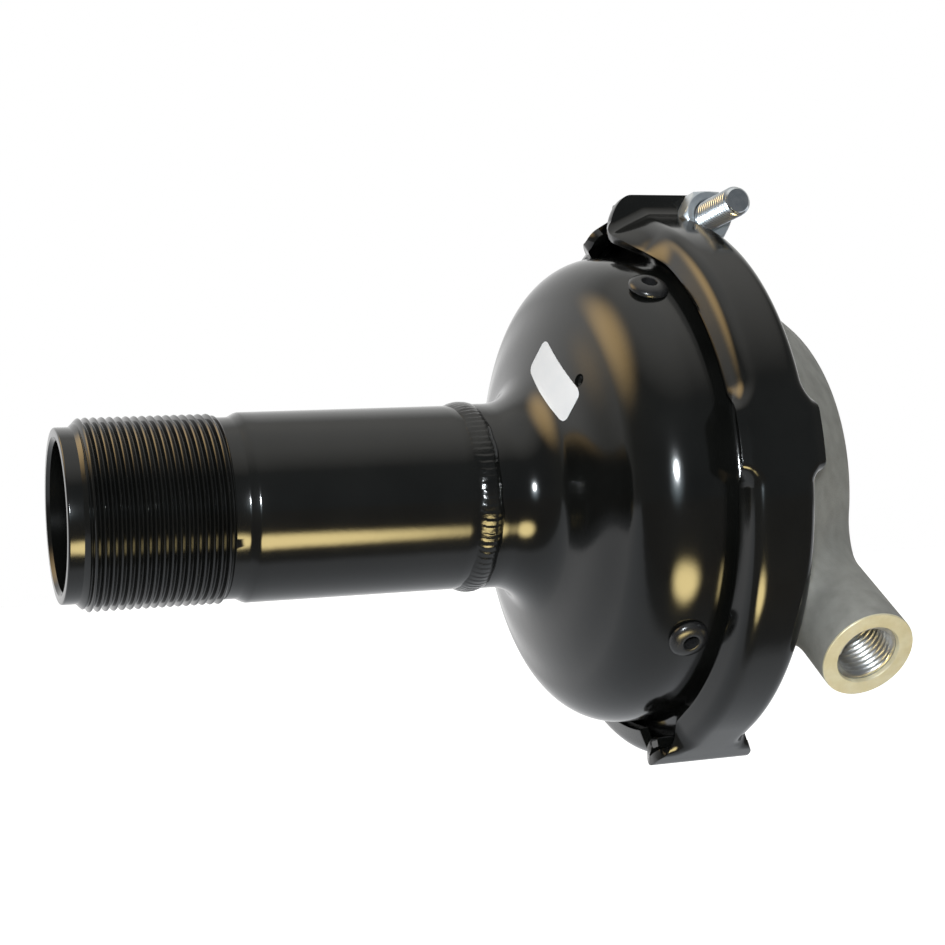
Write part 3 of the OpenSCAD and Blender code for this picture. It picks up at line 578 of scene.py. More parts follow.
class CYL_OT_dome(bpy.types.Operator):
    """Drawn spring housing with its holes for the vent plugs and its drain hole"""
    bl_idname = "cylinder.dome"
    bl_label = "Spring housing"

    def execute(self, context):
        props = context.scene.cylinder_sizes
        lean = math.degrees(LEAN)
        sheet = 3.0
        outside = dome_outline()
        foot = JOINT_X - wedge_x(DOME_R + 1)
        outside += [(foot - 4, DOME_R), (foot - 2, DOME_R + 0.02), (foot - 0.8, DOME_R + 0.3), (foot, DOME_R + 1)]
        outside += [(JOINT_X - wedge_x(RIM_R - 0.6), RIM_R - 0.6), (JOINT_X - wedge_x(RIM_R - 0.6) + 0.7, RIM_R)]
        outside += [(JOINT_X - 1.5, RIM_R), (JOINT_X - 1.5, DOME_R - sheet), (KNUCKLE_X, DOME_R - sheet)]
        outside += arc((KNUCKLE_X, KNUCKLE_CR), KNUCKLE_R - sheet, 90, 180 - lean, 16)
        outside += arc(FILLET_C, FILLET_R + sheet, -lean, -90, 12)
        outside += [(WELD_X, NECK_R - sheet), (WELD_X, NECK_R - 0.6)]
        verts, faces = revolve(dense(outside, 2.5), props.turn_segments + 64)
        obj = add_object("spring_housing_shell", verts, faces, MATERIALS["paint"], 35)
        cutters = []
        for angle in VENT_ANGLES:
            v, f = about_z([(0.001, DOME_R - 6), (3.75, DOME_R - 6), (3.75, DOME_R + 3), (0.001, DOME_R + 3)], 48)
            place = Matrix.Rotation(math.radians(angle), 4, "X") @ Matrix.Translation((VENT_X, 0, 0))
            cutters.append(add_object("cutter", moved(v, place), f, MATERIALS["paint"]))
        x, r = face_point(43, 0)
        v, f = about_z([(0.001, -1.4), (0.9, -1.4), (1.5, -0.9), (1.6, -0.3), (1.9, 1), (0.001, 1)], 40)
        place = (Matrix.Rotation(math.radians(48), 4, "X") @ Matrix.Translation((x, 0, r))
                 @ Matrix.Rotation(LEAN - math.pi / 2, 4, "Y"))
        cutters.append(add_object("cutter", moved(v, place), f, MATERIALS["paint"]))
        apply_booleans(obj, cutters)
        obj.data.shade_smooth()
        obj.data.set_sharp_from_angle(angle=math.radians(35))
        dress(obj, BODY, "gloss_black", "spring_housing")
        return {"FINISHED"}


class CYL_OT_vents(bpy.types.Operator):
    """Four rubber vent plugs with raised round heads"""
    bl_idname = "cylinder.vents"
    bl_label = "Vent plugs"

    def execute(self, context):
        for angle, node in zip(VENT_ANGLES, VENT_NODES):
            top = DOME_R + 2.1
            head, stem, bore = 5.2, 3.74, 2.0
            outline = [(bore, DOME_R - 4), (stem, DOME_R - 4), (stem, DOME_R - 0.2), (head - 0.5, DOME_R - 0.4),
                       (head, DOME_R + 0.1)]
            outline += [(bore + 0.3 + (head - bore - 0.3) * math.cos(math.radians(a)),
                         DOME_R + 0.3 + (top - DOME_R - 0.3) * math.sin(math.radians(a))) for a in range(4, 91, 7)]
            outline += [(bore + 0.12, top - 0.1), (bore, top - 0.4)]
            v, f = about_z(outline, 96)
            place = Matrix.Rotation(math.radians(angle), 4, "X") @ Matrix.Translation((VENT_X, 0, 0))
            obj = add_object("vent_" + node[10:], moved(v, place), f, MATERIALS["plug"], 40)
            dress(obj, BODY, "black_rubber", node)
        return {"FINISHED"}


class CYL_OT_label(bpy.types.Operator):
    """Blank label that lies on the sloping face"""
    bl_idname = "cylinder.label"
    bl_label = "Blank label"

    def execute(self, context):
        props = context.scene.cylinder_sizes
        length, width, corner = props.label_length_mm, props.label_width_mm, 2.2
        centre_r, angle0 = 35.5, math.radians(34.5)
        verts, faces = [], []
        nu, nv = 60, 26
        for layer, lift in enumerate((0.16, 0.03)):
            for j in range(nv + 1):
                for i in range(nu + 1):
                    v = (j / nv - 0.5) * width
                    u = (i / nu - 0.5) * length
                    over_v = abs(v) - (width / 2 - corner)
                    if over_v > 0:
                        reach = length / 2 - corner + math.sqrt(max(corner ** 2 - over_v ** 2, 0))
                        u *= reach / (length / 2)
                    rho = centre_r + v * math.cos(LEAN)
                    r = math.hypot(rho, u)
                    x, rr = face_point(r, 0, lift)
                    verts.append(turned_point(x, rr, angle0 + math.atan2(u, rho)))
        n = nu + 1
        top = (nv + 1) * n
        for j in range(nv):
            for i in range(nu):
                a, b, c, d = j * n + i, j * n + i + 1, (j + 1) * n + i + 1, (j + 1) * n + i
                faces.append((a, b, c, d))
                faces.append((top + d, top + c, top + b, top + a))
        rim = ([j * n for j in range(nv)] + [nv * n + i for i in range(nu)]
               + [j * n + nu for j in range(nv, 0, -1)] + [i for i in range(nu, 0, -1)])
        for a, b in zip(rim, rim[1:] + rim[:1]):
            faces.append((a, b, top + b, top + a))
        obj = add_object("blank_label", verts, faces, MATERIALS["label"], 40)
        dress(obj, BODY, "label_white", "label")
        return {"FINISHED"}


def band_section(half, tip_x, tip_d, bend=4.6, steps=8):
    """Outer line of the band's sheet from one flange tip to the other, as (x, depth) points, with round bends."""
    reach = math.hypot(tip_x - half, tip_d)
    fold = math.atan2(tip_d, tip_x - half)
    tangent = min(max(bend * math.tan(fold / 2), 1.0), reach * 0.6, half * 0.9)
    ux, ud = math.cos(fold), math.sin(fold)
    right = [(0.0, 0.0), ((half - tangent) * 0.5, 0.0)]
    for i in range(steps + 1):
        t = i / steps
        right.append(((1 - t) ** 2 * (half - tangent) + 2 * t * (1 - t) * half + t * t * (half + tangent * ux),
                      t * t * tangent * ud))
    for i in range(1, 7):
        t = tangent + (reach - tangent) * i / 6
        right.append((half + t * ux, t * ud))
    left = [(-x, d) for x, d in right[1:]]
    return left[::-1] + right


def sheet_mesh(rows, side, slot=()):
    """Open sheet through rows of points on its outer face, with its faces turned outwards and a slot left out."""
    m, n = len(rows), len(rows[0])
    mesh = bpy.data.meshes.new("sheet")
    verts = [tuple(mm(p)) for row in rows for p in row]
    faces = []
    for j in range(m - 1):
        for i in range(n - 1):
            middle = sum(rows[k][c][0] for k in (j, j + 1) for c in (i, i + 1)) / 4 - JOINT_X
            if not (j in slot and abs(middle) < 8.3):
                faces.append((j * n + i, j * n + i + 1, (j + 1) * n + i + 1, (j + 1) * n + i))
    mesh.from_pydata(verts, [], faces if side < 0 else [face[::-1] for face in faces])
    return mesh


def band_row(side, point, down, half, tip_x, tip_d):
    """Points of the section hung at a place of the band's path, with depths measured along a direction."""
    return [(JOINT_X + x, -side * (point[0] + d * down[0]), point[1] + d * down[1])
            for x, d in band_section(half, tip_x, tip_d)]


# Section of the band on its ring, on its flattened pad and at its bolted end: half crown, tip and depth of tip
FLANGE = 7.6
TIP_X, TIP_D = 5.5 + FLANGE * math.sin(math.radians(27.2)), FLANGE * math.cos(math.radians(27.2))
RING, PAD, EAR = (7.6, TIP_X + 0.9, TIP_D), (8.2, 11.3, 1.0), (5.0, 16.3, 5.2)


def mixed(a, b, t):
    return tuple(p + (q - p) * t for p, q in zip(a, b))


def ear_rows(side, start, face):
    """Rows of the bolted end, from the top of its upright plate down the hollow bend and out to the ring."""
    tilt = side * BOLT_TILT
    plane = (math.cos(tilt), math.sin(tilt))
    up = (-math.sin(tilt), math.cos(tilt))
    a0 = math.radians(start)
    out = (math.sin(a0), math.cos(a0))
    back = (-math.cos(a0), math.sin(a0))
    begin = (BAND_R * out[0], BAND_R * out[1])
    hollow = 4.6
    run = ((face + BOLT_R * plane[1] + hollow - begin[0] * plane[0] - begin[1] * plane[1]
            - hollow * (out[0] * plane[0] + out[1] * plane[1])) / (back[0] * plane[0] + back[1] * plane[1]))
    foot = (begin[0] + run * back[0], begin[1] + run * back[1])
    centre = (foot[0] + hollow * out[0], foot[1] + hollow * out[1])
    turn = math.radians(90) - tilt - a0
    end = (centre[0] - hollow * plane[0], centre[1] - hollow * plane[1])
    middle = (face * plane[0], BOLT_R + face * plane[1])
    top = (middle[0] - end[0]) * up[0] + (middle[1] - end[1]) * up[1] + 7.0
    rows = []
    across, down, wide = 8.0, 5.0, EAR[1]

    def reach(height):
        """Half width of the plate at a height, inside its rounded corners."""
        over = min(max(height - (top - down), 0), down) / down
        return wide - across + across * math.sqrt(1 - over ** 2)

    base = band_section(*EAR)
    count = 14
    for k in range(count):
        t = math.sin(math.pi / 2 * (1 - k / count))
        narrow = reach(top * t) / wide
        row = []
        for x, d in base:
            h = top * t - d * (1 - t)
            row.append((JOINT_X + x * narrow, -side * (end[0] + h * up[0]), end[1] + h * up[1]))
        rows.append(row)
    for k in range(12):
        a = a0 + turn * (1 - k / 12)
        point = (centre[0] - hollow * math.sin(a), centre[1] - hollow * math.cos(a))
        low = (point[0] - end[0]) * up[0] + (point[1] - end[1]) * up[1]
        narrow = reach(low) / wide
        rows.append([(JOINT_X + (x - JOINT_X) * narrow, y, z)
                     for x, y, z in band_row(side, point, (-up[0], -up[1]), *EAR)])
    for k in range(11):
        t = k / 11
        point = (foot[0] - run * t * back[0], foot[1] - run * t * back[1])
        w = smooth(t)
        down = (-up[0] * (1 - w) - out[0] * w, -up[1] * (1 - w) - out[1] * w)
        rows.append(band_row(side, point, down, *mixed(EAR, RING, 0.62 * t ** 1.2)))
    for k in range(11):
        t = 0.62 + 0.38 * smooth(k / 10)
        a = math.radians(start + k)
        rows.append(band_row(side, (BAND_R * math.sin(a), BAND_R * math.cos(a)), (-math.sin(a), -math.cos(a)),
                             *mixed(EAR, RING, t)))
    return rows


def ring_rows(side, start, stop, pad):
    """Rows along the ring, with the pad that the press has flattened."""
    rows = []
    count = int((stop - start) / 0.8)
    for k in range(count + 1):
        angle = start + (stop - start) * k / count
        away = angle - pad
        t = smooth((-away - 4.5) / 6.5) if away < 0 else smooth((away - 6.0) / 4.0)
        a = math.radians(angle)
        r = BAND_R - 0.1 * (1 - t)
        rows.append(band_row(side, (r * math.sin(a), r * math.cos(a)), (-math.sin(a), -math.cos(a)),
                             *mixed(PAD, RING, t)))
    return rows


def hook_rows(side):
    """Rows of the hooked end: tangent run, widening plate, round bend and lip."""
    a = math.radians(149)
    out = (math.sin(a), math.cos(a))
    ahead = (math.cos(a), -math.sin(a))
    leave = (BAND_R * out[0], BAND_R * out[1])
    bend, lip = 4.0, 2.6
    run = (leave[0] - 15 - bend - bend * out[0]) / -ahead[0]
    rows = []
    for k in range(1, 27):
        d = run * k / 26
        flat = smooth((d - 7.0) / 7.5)
        half, tip_x, tip_d = mixed(RING, (8.3, 10.2, 0.0), flat)
        tip_x = max(tip_x, 9.2 + 4.8 * smooth((d - 7.5) / 11.0))
        rows.append(band_row(side, (leave[0] + ahead[0] * d, leave[1] + ahead[1] * d), (-out[0], -out[1]),
                             half, tip_x, tip_d))
    centre = (leave[0] + ahead[0] * run - bend * out[0], leave[1] + ahead[1] * run - bend * out[1])
    for k in range(1, 12):
        b = a + (math.radians(270) - a) * k / 11
        rows.append(band_row(side, (centre[0] + bend * math.sin(b), centre[1] + bend * math.cos(b)),
                             (-math.sin(b), -math.cos(b)), 8.3, 14.0 - 1.2 * smooth((k - 3) / 8), 0.0))
    for k in range(1, 6):
        rows.append(band_row(side, (centre[0] - bend, centre[1] + lip * k / 5), (1, 0), 8.3,
                             12.8 - (0.2, 0.45, 0.8, 1.3, 2.2)[k - 1], 0.0))
    return rows


def solidified(name, mesh, thickness, material, bevel=0.35, angle=35):
    """Gives a sheet its thickness on the inner side and rounds its edges."""
    bm = bmesh.new()
    bm.from_mesh(mesh)
    bmesh.ops.remove_doubles(bm, verts=bm.verts, dist=2e-6)
    bm.to_mesh(mesh)
    bm.free()
    obj = bpy.data.objects.new(name, mesh)
    bpy.context.scene.collection.objects.link(obj)
    mesh.materials.append(material)
    mod = obj.modifiers.new("thickness", "SOLIDIFY")
    mod.thickness, mod.offset, mod.use_even_offset = thickness / 1000, -1.0, False
    if bevel:
        mod = obj.modifiers.new("edges", "BEVEL")
        mod.width, mod.segments, mod.limit_method = bevel / 1000, 3, "ANGLE"
        mod.angle_limit = math.radians(50)
    flatten(obj)
    obj.data.shade_smooth()
    obj.data.set_sharp_from_angle(angle=math.radians(angle))
    return obj


class CYL_OT_clamp(bpy.types.Operator):
    """Both halves of the stamped clamp band"""
    bl_idname = "cylinder.clamp"
    bl_label = "Clamp band"

    def execute(self, context):
        for name, side, start, stop, pad, face, node in (
                ("clamp_half_front", 1, 20, 149, 79, EAR_FACE, "clamp_band_front"),
                ("clamp_half_rear", -1, 12, 184, 95, REAR_EAR_FACE, "clamp_band_rear")):
            rows = ear_rows(side, start, face) + ring_rows(side, start + 11, stop, pad)
            slot = ()
            if side > 0:
                hook = hook_rows(side)
                slot = range(len(rows) + len(hook) - 9, len(rows) + len(hook) - 2)
                rows += hook
            obj = solidified(name, sheet_mesh(rows, side, slot), BAND_T, MATERIALS["paint"])
            if side < 0:
                add_tongue(obj)
            obj.data.shade_smooth()
            obj.data.set_sharp_from_angle(angle=math.radians(35))
            dress(obj, BODY, "gloss_black", node)
        return {"FINISHED"}


def add_tongue(obj):
    """Adds the tongue that hangs in the hook, with its wide head, to the rear half."""
    bm = bmesh.new()
    bm.from_mesh(obj.data)
    for start, stop, half_width in ((162.5, 186, 8.0), (162.5, 165.5, 12.5)):
        part = tongue_sector(start, stop, half_width)
        bm.from_mesh(part.data)
        bpy.data.objects.remove(part)
    bm.to_mesh(obj.data)
    bm.free()


def tongue_sector(start, stop, half_width):
    """Stretch of the tongue between two angles from the top."""
    outer = BAND_R - 1.5
    count = 24
    section = [(-half_width, outer - BAND_T + 0.4), (-half_width + 0.4, outer - BAND_T),
               (half_width - 0.4, outer - BAND_T), (half_width, outer - BAND_T + 0.4), (half_width, outer - 0.4),
               (half_width - 0.4, outer), (-half_width + 0.4, outer), (-half_width, outer - 0.4)]
    n = len(section)
    verts = [turned_point(JOINT_X + x, r, math.radians(start + (stop - start) * k / count))
             for k in range(count + 1) for x, r in section]
    faces = [(k * n + i, k * n + (i + 1) % n, (k + 1) * n + (i + 1) % n, (k + 1) * n + i)
             for k in range(count) for i in range(n)]
    faces += [tuple(range(n - 1, -1, -1)), tuple(count * n + i for i in range(n))]
    return add_object("tongue", verts, faces, MATERIALS["paint"])


class CYL_OT_fasteners(bpy.types.Operator):
    """Clamp bolt with its thread and its hexagon nut"""
    bl_idname = "cylinder.fasteners"
    bl_label = "Clamp bolt and nut"

    def execute(self, context):
        r = BOLT_D / 2
        tip = EAR_FACE + NUT_H + BOLT_OUT
        start = -REAR_EAR_FACE
        length = tip - start
        per = 8
        rows = int((length / 1.25 + 1) * per)
        skin = run_tree(thread_tree(), "thread", Crest_Radius=r / 1000, Root_Radius=(r - 0.72) / 1000, Pitch=0.00125,
                        Start=0.0, Length=length / 1000, Start_Radius=r / 1000, Start_Slope=1.0,
                        End_Radius=(r - 0.95) / 1000, End_Slope=1.0, Rows=rows, Rows_per_Pitch=per, Segments=64,
                        Crest_Share=0.2, Root_Share=0.3, Material=MATERIALS["bolt"])
        v, f = mesh_data(skin)
        turn = bolt_matrix(start) @ Matrix.Rotation(math.radians(-90), 4, "Y")
        thread = (moved(v, turn), f)
        seg = 64
        cap = [tuple((turn @ Vector(turned_point(length, (r - 0.95), 2 * math.pi * j / seg)))) for j in range(seg)]
        end = (cap, [tuple(range(seg))])
        head_h, hexr = 5.3, NUT_AF / 2 / math.cos(math.radians(30))
        head = chamfered_hexagon(hexr, head_h, True)
        head = (moved(head[0], bolt_matrix(start - head_h)), head[1])
        verts, faces = joined(thread, end, head)
        obj = add_object("clamp_bolt_threaded", verts, faces, MATERIALS["bolt"], 40)
        dress(obj, BODY, "zinc", "clamp_bolt")
        nut = chamfered_hexagon(hexr, NUT_H, False, r + 0.06)
        obj = add_object("clamp_nut_hexagon", moved(nut[0], bolt_matrix(EAR_FACE + 0.15)), nut[1],
                         MATERIALS["zinc"], 30)
        dress(obj, BODY, "zinc", "clamp_nut")
        return {"FINISHED"}


def chamfered_hexagon(radius, height, solid, bore=0.0, seg=96):
    """Verts and faces of a hexagon whose corners are turned off by a 30 degree chamfer."""
    flat = radius * math.cos(math.radians(30))
    rings = []

    def outline(z):
        """Hexagon at a height, cut back to the chamfer's cone there."""
        pts = []
        for j in range(seg):
            a = 2 * math.pi * j / seg
            local = (a + math.radians(30)) % math.radians(60) - math.radians(30)
            hexa = flat / math.cos(local)
            cone = flat * 0.97 + (min(z, height - z) if not solid else (height if z > height / 2 else z)) * 1.7
            if solid:
                cone = flat * 0.97 + z * 1.7
            r = min(hexa, cone)
            pts.append((r * math.cos(a + math.radians(30)), r * math.sin(a + math.radians(30)), z))
        return pts

    levels = [0.0, 0.15, 0.3, 0.5, 0.75, 1.1, height * 0.5]
    levels += [height - z for z in levels[-2::-1]]
    for z in levels:
        rings.append(outline(z))
    verts = [p for ring in rings for p in ring]
    faces = []
    for k in range(len(rings) - 1):
        for j in range(seg):
            m = (j + 1) % seg
            faces.append((k * seg + j, k * seg + m, (k + 1) * seg + m, (k + 1) * seg + j))
    last = (len(rings) - 1) * seg
    if solid:
        faces.append(tuple(range(seg - 1, -1, -1)))
        faces.append(tuple(range(last, last + seg)))
        return verts, faces
    base = len(verts)
    lead = 0.5
    inner = [(bore + lead, 0.0), (bore, lead), (bore, height - lead), (bore + lead, height)]
    for r, z in inner:
        verts += [(r * math.cos(2 * math.pi * j / seg + math.radians(30)),
                   r * math.sin(2 * math.pi * j / seg + math.radians(30)), z) for j in range(seg)]
    for k in range(3):
        for j in range(seg):
            m = (j + 1) % seg
            faces.append((base + k * seg + j, base + (k + 1) * seg + j, base + (k + 1) * seg + m, base + k * seg + m))
    for j in range(seg):
        m = (j + 1) % seg
        faces.append((j, base + j, base + m, m))
        faces.append((last + j, last + m, base + 3 * seg + m, base + 3 * seg + j))
    return verts, faces


def cover_outline():
    """Outside and inside of the pressure housing as one closed outline."""
    foot = (JOINT_X + wedge_x(COVER_FOOT_R) + 0.6, COVER_FOOT_R)
    back = JOINT_X + COVER_DEPTH
    centre = (back - COVER_BEND, COVER_BACK_R)
    run = (centre[0] - foot[0], centre[1] - foot[1])
    normal = 90 + math.degrees(math.atan2(run[1], run[0])) + math.degrees(math.asin(COVER_BEND / math.hypot(*run)))
    out = (math.cos(math.radians(normal)), math.sin(math.radians(normal)))
    step = (foot[0] - 0.6, foot[1] + 0.4)
    outline = [(JOINT_X + 1.5, RIM_R), (JOINT_X + wedge_x(RIM_R - 0.6) - 0.7, RIM_R),
               (JOINT_X + wedge_x(RIM_R - 0.6), RIM_R - 0.6), step, foot]
    outline += arc(centre, COVER_BEND, normal, 0, 18)
    outline += [(back, 0.02), (back - COVER_WALL, 0.02)]
    outline += arc(centre, COVER_BEND - COVER_WALL, 0, normal, 12)
    mouth = (foot[0] - COVER_WALL * out[0], foot[1] - COVER_WALL * out[1])
    outline += [mouth, (JOINT_X + 1.5, mouth[1])]
    return outline


def cover_distance(p):
    """Distance of a point from the cover's outside, in millimetres, negative within."""
    foot = (JOINT_X + wedge_x(COVER_FOOT_R) + 0.6, COVER_FOOT_R)
    centre = (JOINT_X + COVER_DEPTH - COVER_BEND, COVER_BACK_R)
    run = (centre[0] - foot[0], centre[1] - foot[1])
    normal = math.pi / 2 + math.atan2(run[1], run[0]) + math.asin(COVER_BEND / math.hypot(*run))
    dx, dr = p[0] - centre[0], math.hypot(p[1], p[2]) - centre[1]
    side = dx * math.cos(normal) + dr * math.sin(normal)
    along = dx * math.sin(normal) - dr * math.cos(normal)
    if side > 0 and along < 0:
        return side - COVER_BEND
    if dx > 0 and dr < 0:
        return dx - COVER_BEND
    if side <= 0 and dx <= 0:
        return max(side, dx) - COVER_BEND
    return math.hypot(dx, dr) - COVER_BEND


def blended(rho, h, phi, place, blend):
    """Distance from the cover and the boss together, with the corner between them filled."""
    cover = cover_distance(place @ Vector((rho * math.cos(phi), rho * math.sin(phi), h)))
    boss = rho - BOSS_R
    near = max(blend - abs(cover - boss), 0) / blend
    return min(cover, boss) - near * near * blend / 4


def boss_mesh(blend=7.0, segments=112, steps=46):
    """Boss of the air port, from its bore over its mouth and down its wall into the cover, in millimetres."""
    place = boss_matrix()
    top = BOSS_REACH - 3.0
    profile = [(0.02, 40), (4.5, 40), (4.5, BOSS_REACH - 15.2), (8.0, BOSS_REACH - 15.2), (8.0, BOSS_REACH - 1.0),
               (8.6, BOSS_REACH - 0.4), (BOSS_R - 0.35, BOSS_REACH - 0.4), (BOSS_R - 0.1, BOSS_REACH - 0.5),
               (BOSS_R, BOSS_REACH - 0.75)]
    rows = []
    for j in range(segments):
        phi = 2 * math.pi * j / segments
        foot = top
        while foot > 30 and cover_distance(place @ Vector((BOSS_R * math.cos(phi), BOSS_R * math.sin(phi), foot))) > 0:
            foot -= 0.5
        stride = (top - foot + 11.0) / steps
        rho, h = BOSS_R, top
        line = [(rho, h)]
        for _ in range(steps):
            e = 0.01
            for _ in range(3):
                f = blended(rho, h, phi, place, blend)
                gr = (blended(rho + e, h, phi, place, blend) - f) / e
                gh = (blended(rho, h + e, phi, place, blend) - f) / e
                size = max(gr * gr + gh * gh, 1e-6)
                rho, h = rho - f * gr / size, h - f * gh / size
            line[-1] = (rho, h)
            length = math.hypot(gr, gh)
            rho, h = rho + stride * gh / length, h - stride * gr / length
            line.append((rho, h))
        line[-1] = (line[-2][0] + 0.3, line[-2][1] - 1.0)
        rows.append([(r * math.cos(phi), r * math.sin(phi), z) for r, z in profile + line + [(4.5, 40)]])
    n = len(rows[0])
    verts = [tuple(place @ Vector(p)) for row in rows for p in row]
    faces = [(j * n + i, j * n + i + 1, (j + 1) % segments * n + i + 1, (j + 1) % segments * n + i)
             for j in range(segments) for i in range(n - 1)]
    return verts, faces


class CYL_OT_housing(bpy.types.Operator):
    """Cast pressure housing with the boss, machined face and thread of the air port"""
    bl_idname = "cylinder.housing"
    bl_label = "Pressure housing"

    def execute(self, context):
        verts, faces = revolve(dense(cover_outline(), 2.0), 224)
        cover = add_object("pressure_housing_casting", verts, faces, MATERIALS["cast"], 40)
        verts, faces = boss_mesh()
        boss = add_object("boss", verts, faces, MATERIALS["cast"], 32)
        bm = bmesh.new()
        bm.from_mesh(cover.data)
        bm.from_mesh(boss.data)
        bm.to_mesh(cover.data)
        bm.free()
        bpy.data.objects.remove(boss)
        dress(cover, BODY, "cast_grey", "pressure_housing")
        bolt = boss_matrix()
        face = about_z([(8.05, BOSS_REACH - 1.1), (BOSS_R - 0.5, BOSS_REACH - 0.7), (BOSS_R - 0.05, BOSS_REACH - 0.5),
                        (BOSS_R - 0.05, BOSS_REACH - 0.12), (BOSS_R - 0.17, BOSS_REACH), (8.45, BOSS_REACH),
                        (8.05, BOSS_REACH - 0.7)], 128)
        ring = add_object("port_machined_ring", moved(face[0], bolt), face[1], MATERIALS["machined"], 30)
        dress(ring, BODY, "cast_grey")
        length = 13.5
        per = 8
        skin = run_tree(thread_tree(), "thread", Crest_Radius=0.00795, Root_Radius=0.0071, Pitch=0.0015, Start=0.0,
                        Length=length / 1000, Start_Radius=0.00795, Start_Slope=1.0, End_Radius=0.0079,
                        End_Slope=1.0, Rows=int((length / 1.5 + 1) * per), Rows_per_Pitch=per, Segments=96,
                        Material=MATERIALS["thread"])
        v, f = mesh_data(skin)
        turn = bolt @ Matrix.Translation((0, 0, BOSS_REACH - 1.1 - length)) @ Matrix.Rotation(math.radians(-90), 4, "Y")
        wall = [tuple(reversed(p)) for p in f]
        sleeve = [(x, r) for x, r in ((0.0, 7.99), (length, 7.99))]
        sv, sf = revolve(sleeve, 96, closed=False)
        verts, faces = joined((moved(v, turn), wall), (moved(sv, turn), sf))
        thread = add_object("port_thread", verts, faces, MATERIALS["thread"], 40)
        dress(thread, BODY, "cast_grey")
        return {"FINISHED"}


class CYL_OT_inside(bpy.types.Operator):
    """Finishes of the pieces inside: rod, plate, spring, bush, seal and diaphragm"""
    bl_idname = "cylinder.inside"
    bl_label = "Inside pieces"

    def execute(self, context):
        finishes = {"spring_seat": "zinc", "return_spring": "spring", "push_rod": "steel", "rod_tip": "steel",
                    "pressure_plate": "zinc", "plate_nut": "zinc", "guide_bush": "bush", "rod_seal": "rubber",
                    "bush_clip": "spring", "diaphragm": "rubber"}
        for node, key in finishes.items():
            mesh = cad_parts[node].data
            mesh.materials.clear()
            mesh.materials.append(MATERIALS[key])
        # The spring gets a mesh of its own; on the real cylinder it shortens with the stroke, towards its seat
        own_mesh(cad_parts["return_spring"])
        return {"FINISHED"}


def aimed(obj, place, target):
    obj.location = place
    obj.rotation_euler = (Vector(target) - Vector(place)).to_track_quat("-Z", "Y").to_euler()
    bpy.context.scene.collection.objects.link(obj)
    return obj


def area_light(name, place, target, size, power, color, glossy=True):
    light = bpy.data.lights.new(name, "AREA")
    light.shape, light.size = "DISK", size
    light.energy, light.color = power, color
    obj = aimed(bpy.data.objects.new(name, light), place, target)
    obj.visible_camera = False
    obj.visible_glossy = glossy
    return obj


def reflector(name, place, target, width, height, color, strength, core=0.0):
    """Card with soft edges that only shows as a reflection in gloss and metal."""
    mesh = bpy.data.meshes.new(name)
    mesh.from_pydata([(-width / 2, -height / 2, 0), (width / 2, -height / 2, 0), (width / 2, height / 2, 0),
                      (-width / 2, height / 2, 0)], [], [(0, 3, 2, 1)])
    mat = bpy.data.materials.new(name)
    mat.use_nodes = True
    nodes, links = mat.node_tree.nodes, mat.node_tree.links
    nodes.clear()
    out = nodes.new("ShaderNodeOutputMaterial")
    glow = nodes.new("ShaderNodeEmission")
    glow.inputs["Color"].default_value = (*color, 1)
    coord = nodes.new("ShaderNodeTexCoord")
    scale = nodes.new("ShaderNodeMapping")
    scale.inputs["Scale"].default_value = (2 / width, 2 / height, 1)
    length = nodes.new("ShaderNodeVectorMath")
    length.operation = "LENGTH"
    fade = nodes.new("ShaderNodeMapRange")
    fade.interpolation_type = "SMOOTHERSTEP"
    fade.inputs["From Min"].default_value, fade.inputs["From Max"].default_value = 1.0, core
    fade.inputs["To Min"].default_value, fade.inputs["To Max"].default_value = 0.0, strength
    clear = nodes.new("ShaderNodeBsdfTransparent")
    both = nodes.new("ShaderNodeAddShader")
    links.new(coord.outputs["Object"], scale.inputs["Vector"])
    links.new(scale.outputs[0], length.inputs[0])
    links.new(length.outputs["Value"], fade.inputs["Value"])
    links.new(fade.outputs["Result"], glow.inputs["Strength"])
    links.new(glow.outputs[0], both.inputs[0])
    links.new(clear.outputs[0], both.inputs[1])
    links.new(both.outputs[0], out.inputs["Surface"])
    mesh.materials.append(mat)
    obj = aimed(bpy.data.objects.new(name, mesh), place, target)
    obj.visible_camera = obj.visible_diffuse = obj.visible_shadow = obj.visible_transmission = False
    return obj


def shade_ramp(nodes, links, value, low, high, stops):
    """Grey ramp over a value between two limits, as (share, shade) stops."""
    remap = nodes.new("ShaderNodeMapRange")
    remap.inputs["From Min"].default_value, remap.inputs["From Max"].default_value = low, high
    links.new(value, remap.inputs["Value"])
    ramp = nodes.new("ShaderNodeValToRGB")
    for element, (share, shade) in zip(ramp.color_ramp.elements, (stops[0], stops[-1])):
        element.position, element.color = share, (*shade, 1)
    for share, shade in stops[1:-1]:
        ramp.color_ramp.elements.new(share).color = (*shade, 1)
    links.new(remap.outputs["Result"], ramp.inputs["Fac"])
    return ramp.outputs["Color"]


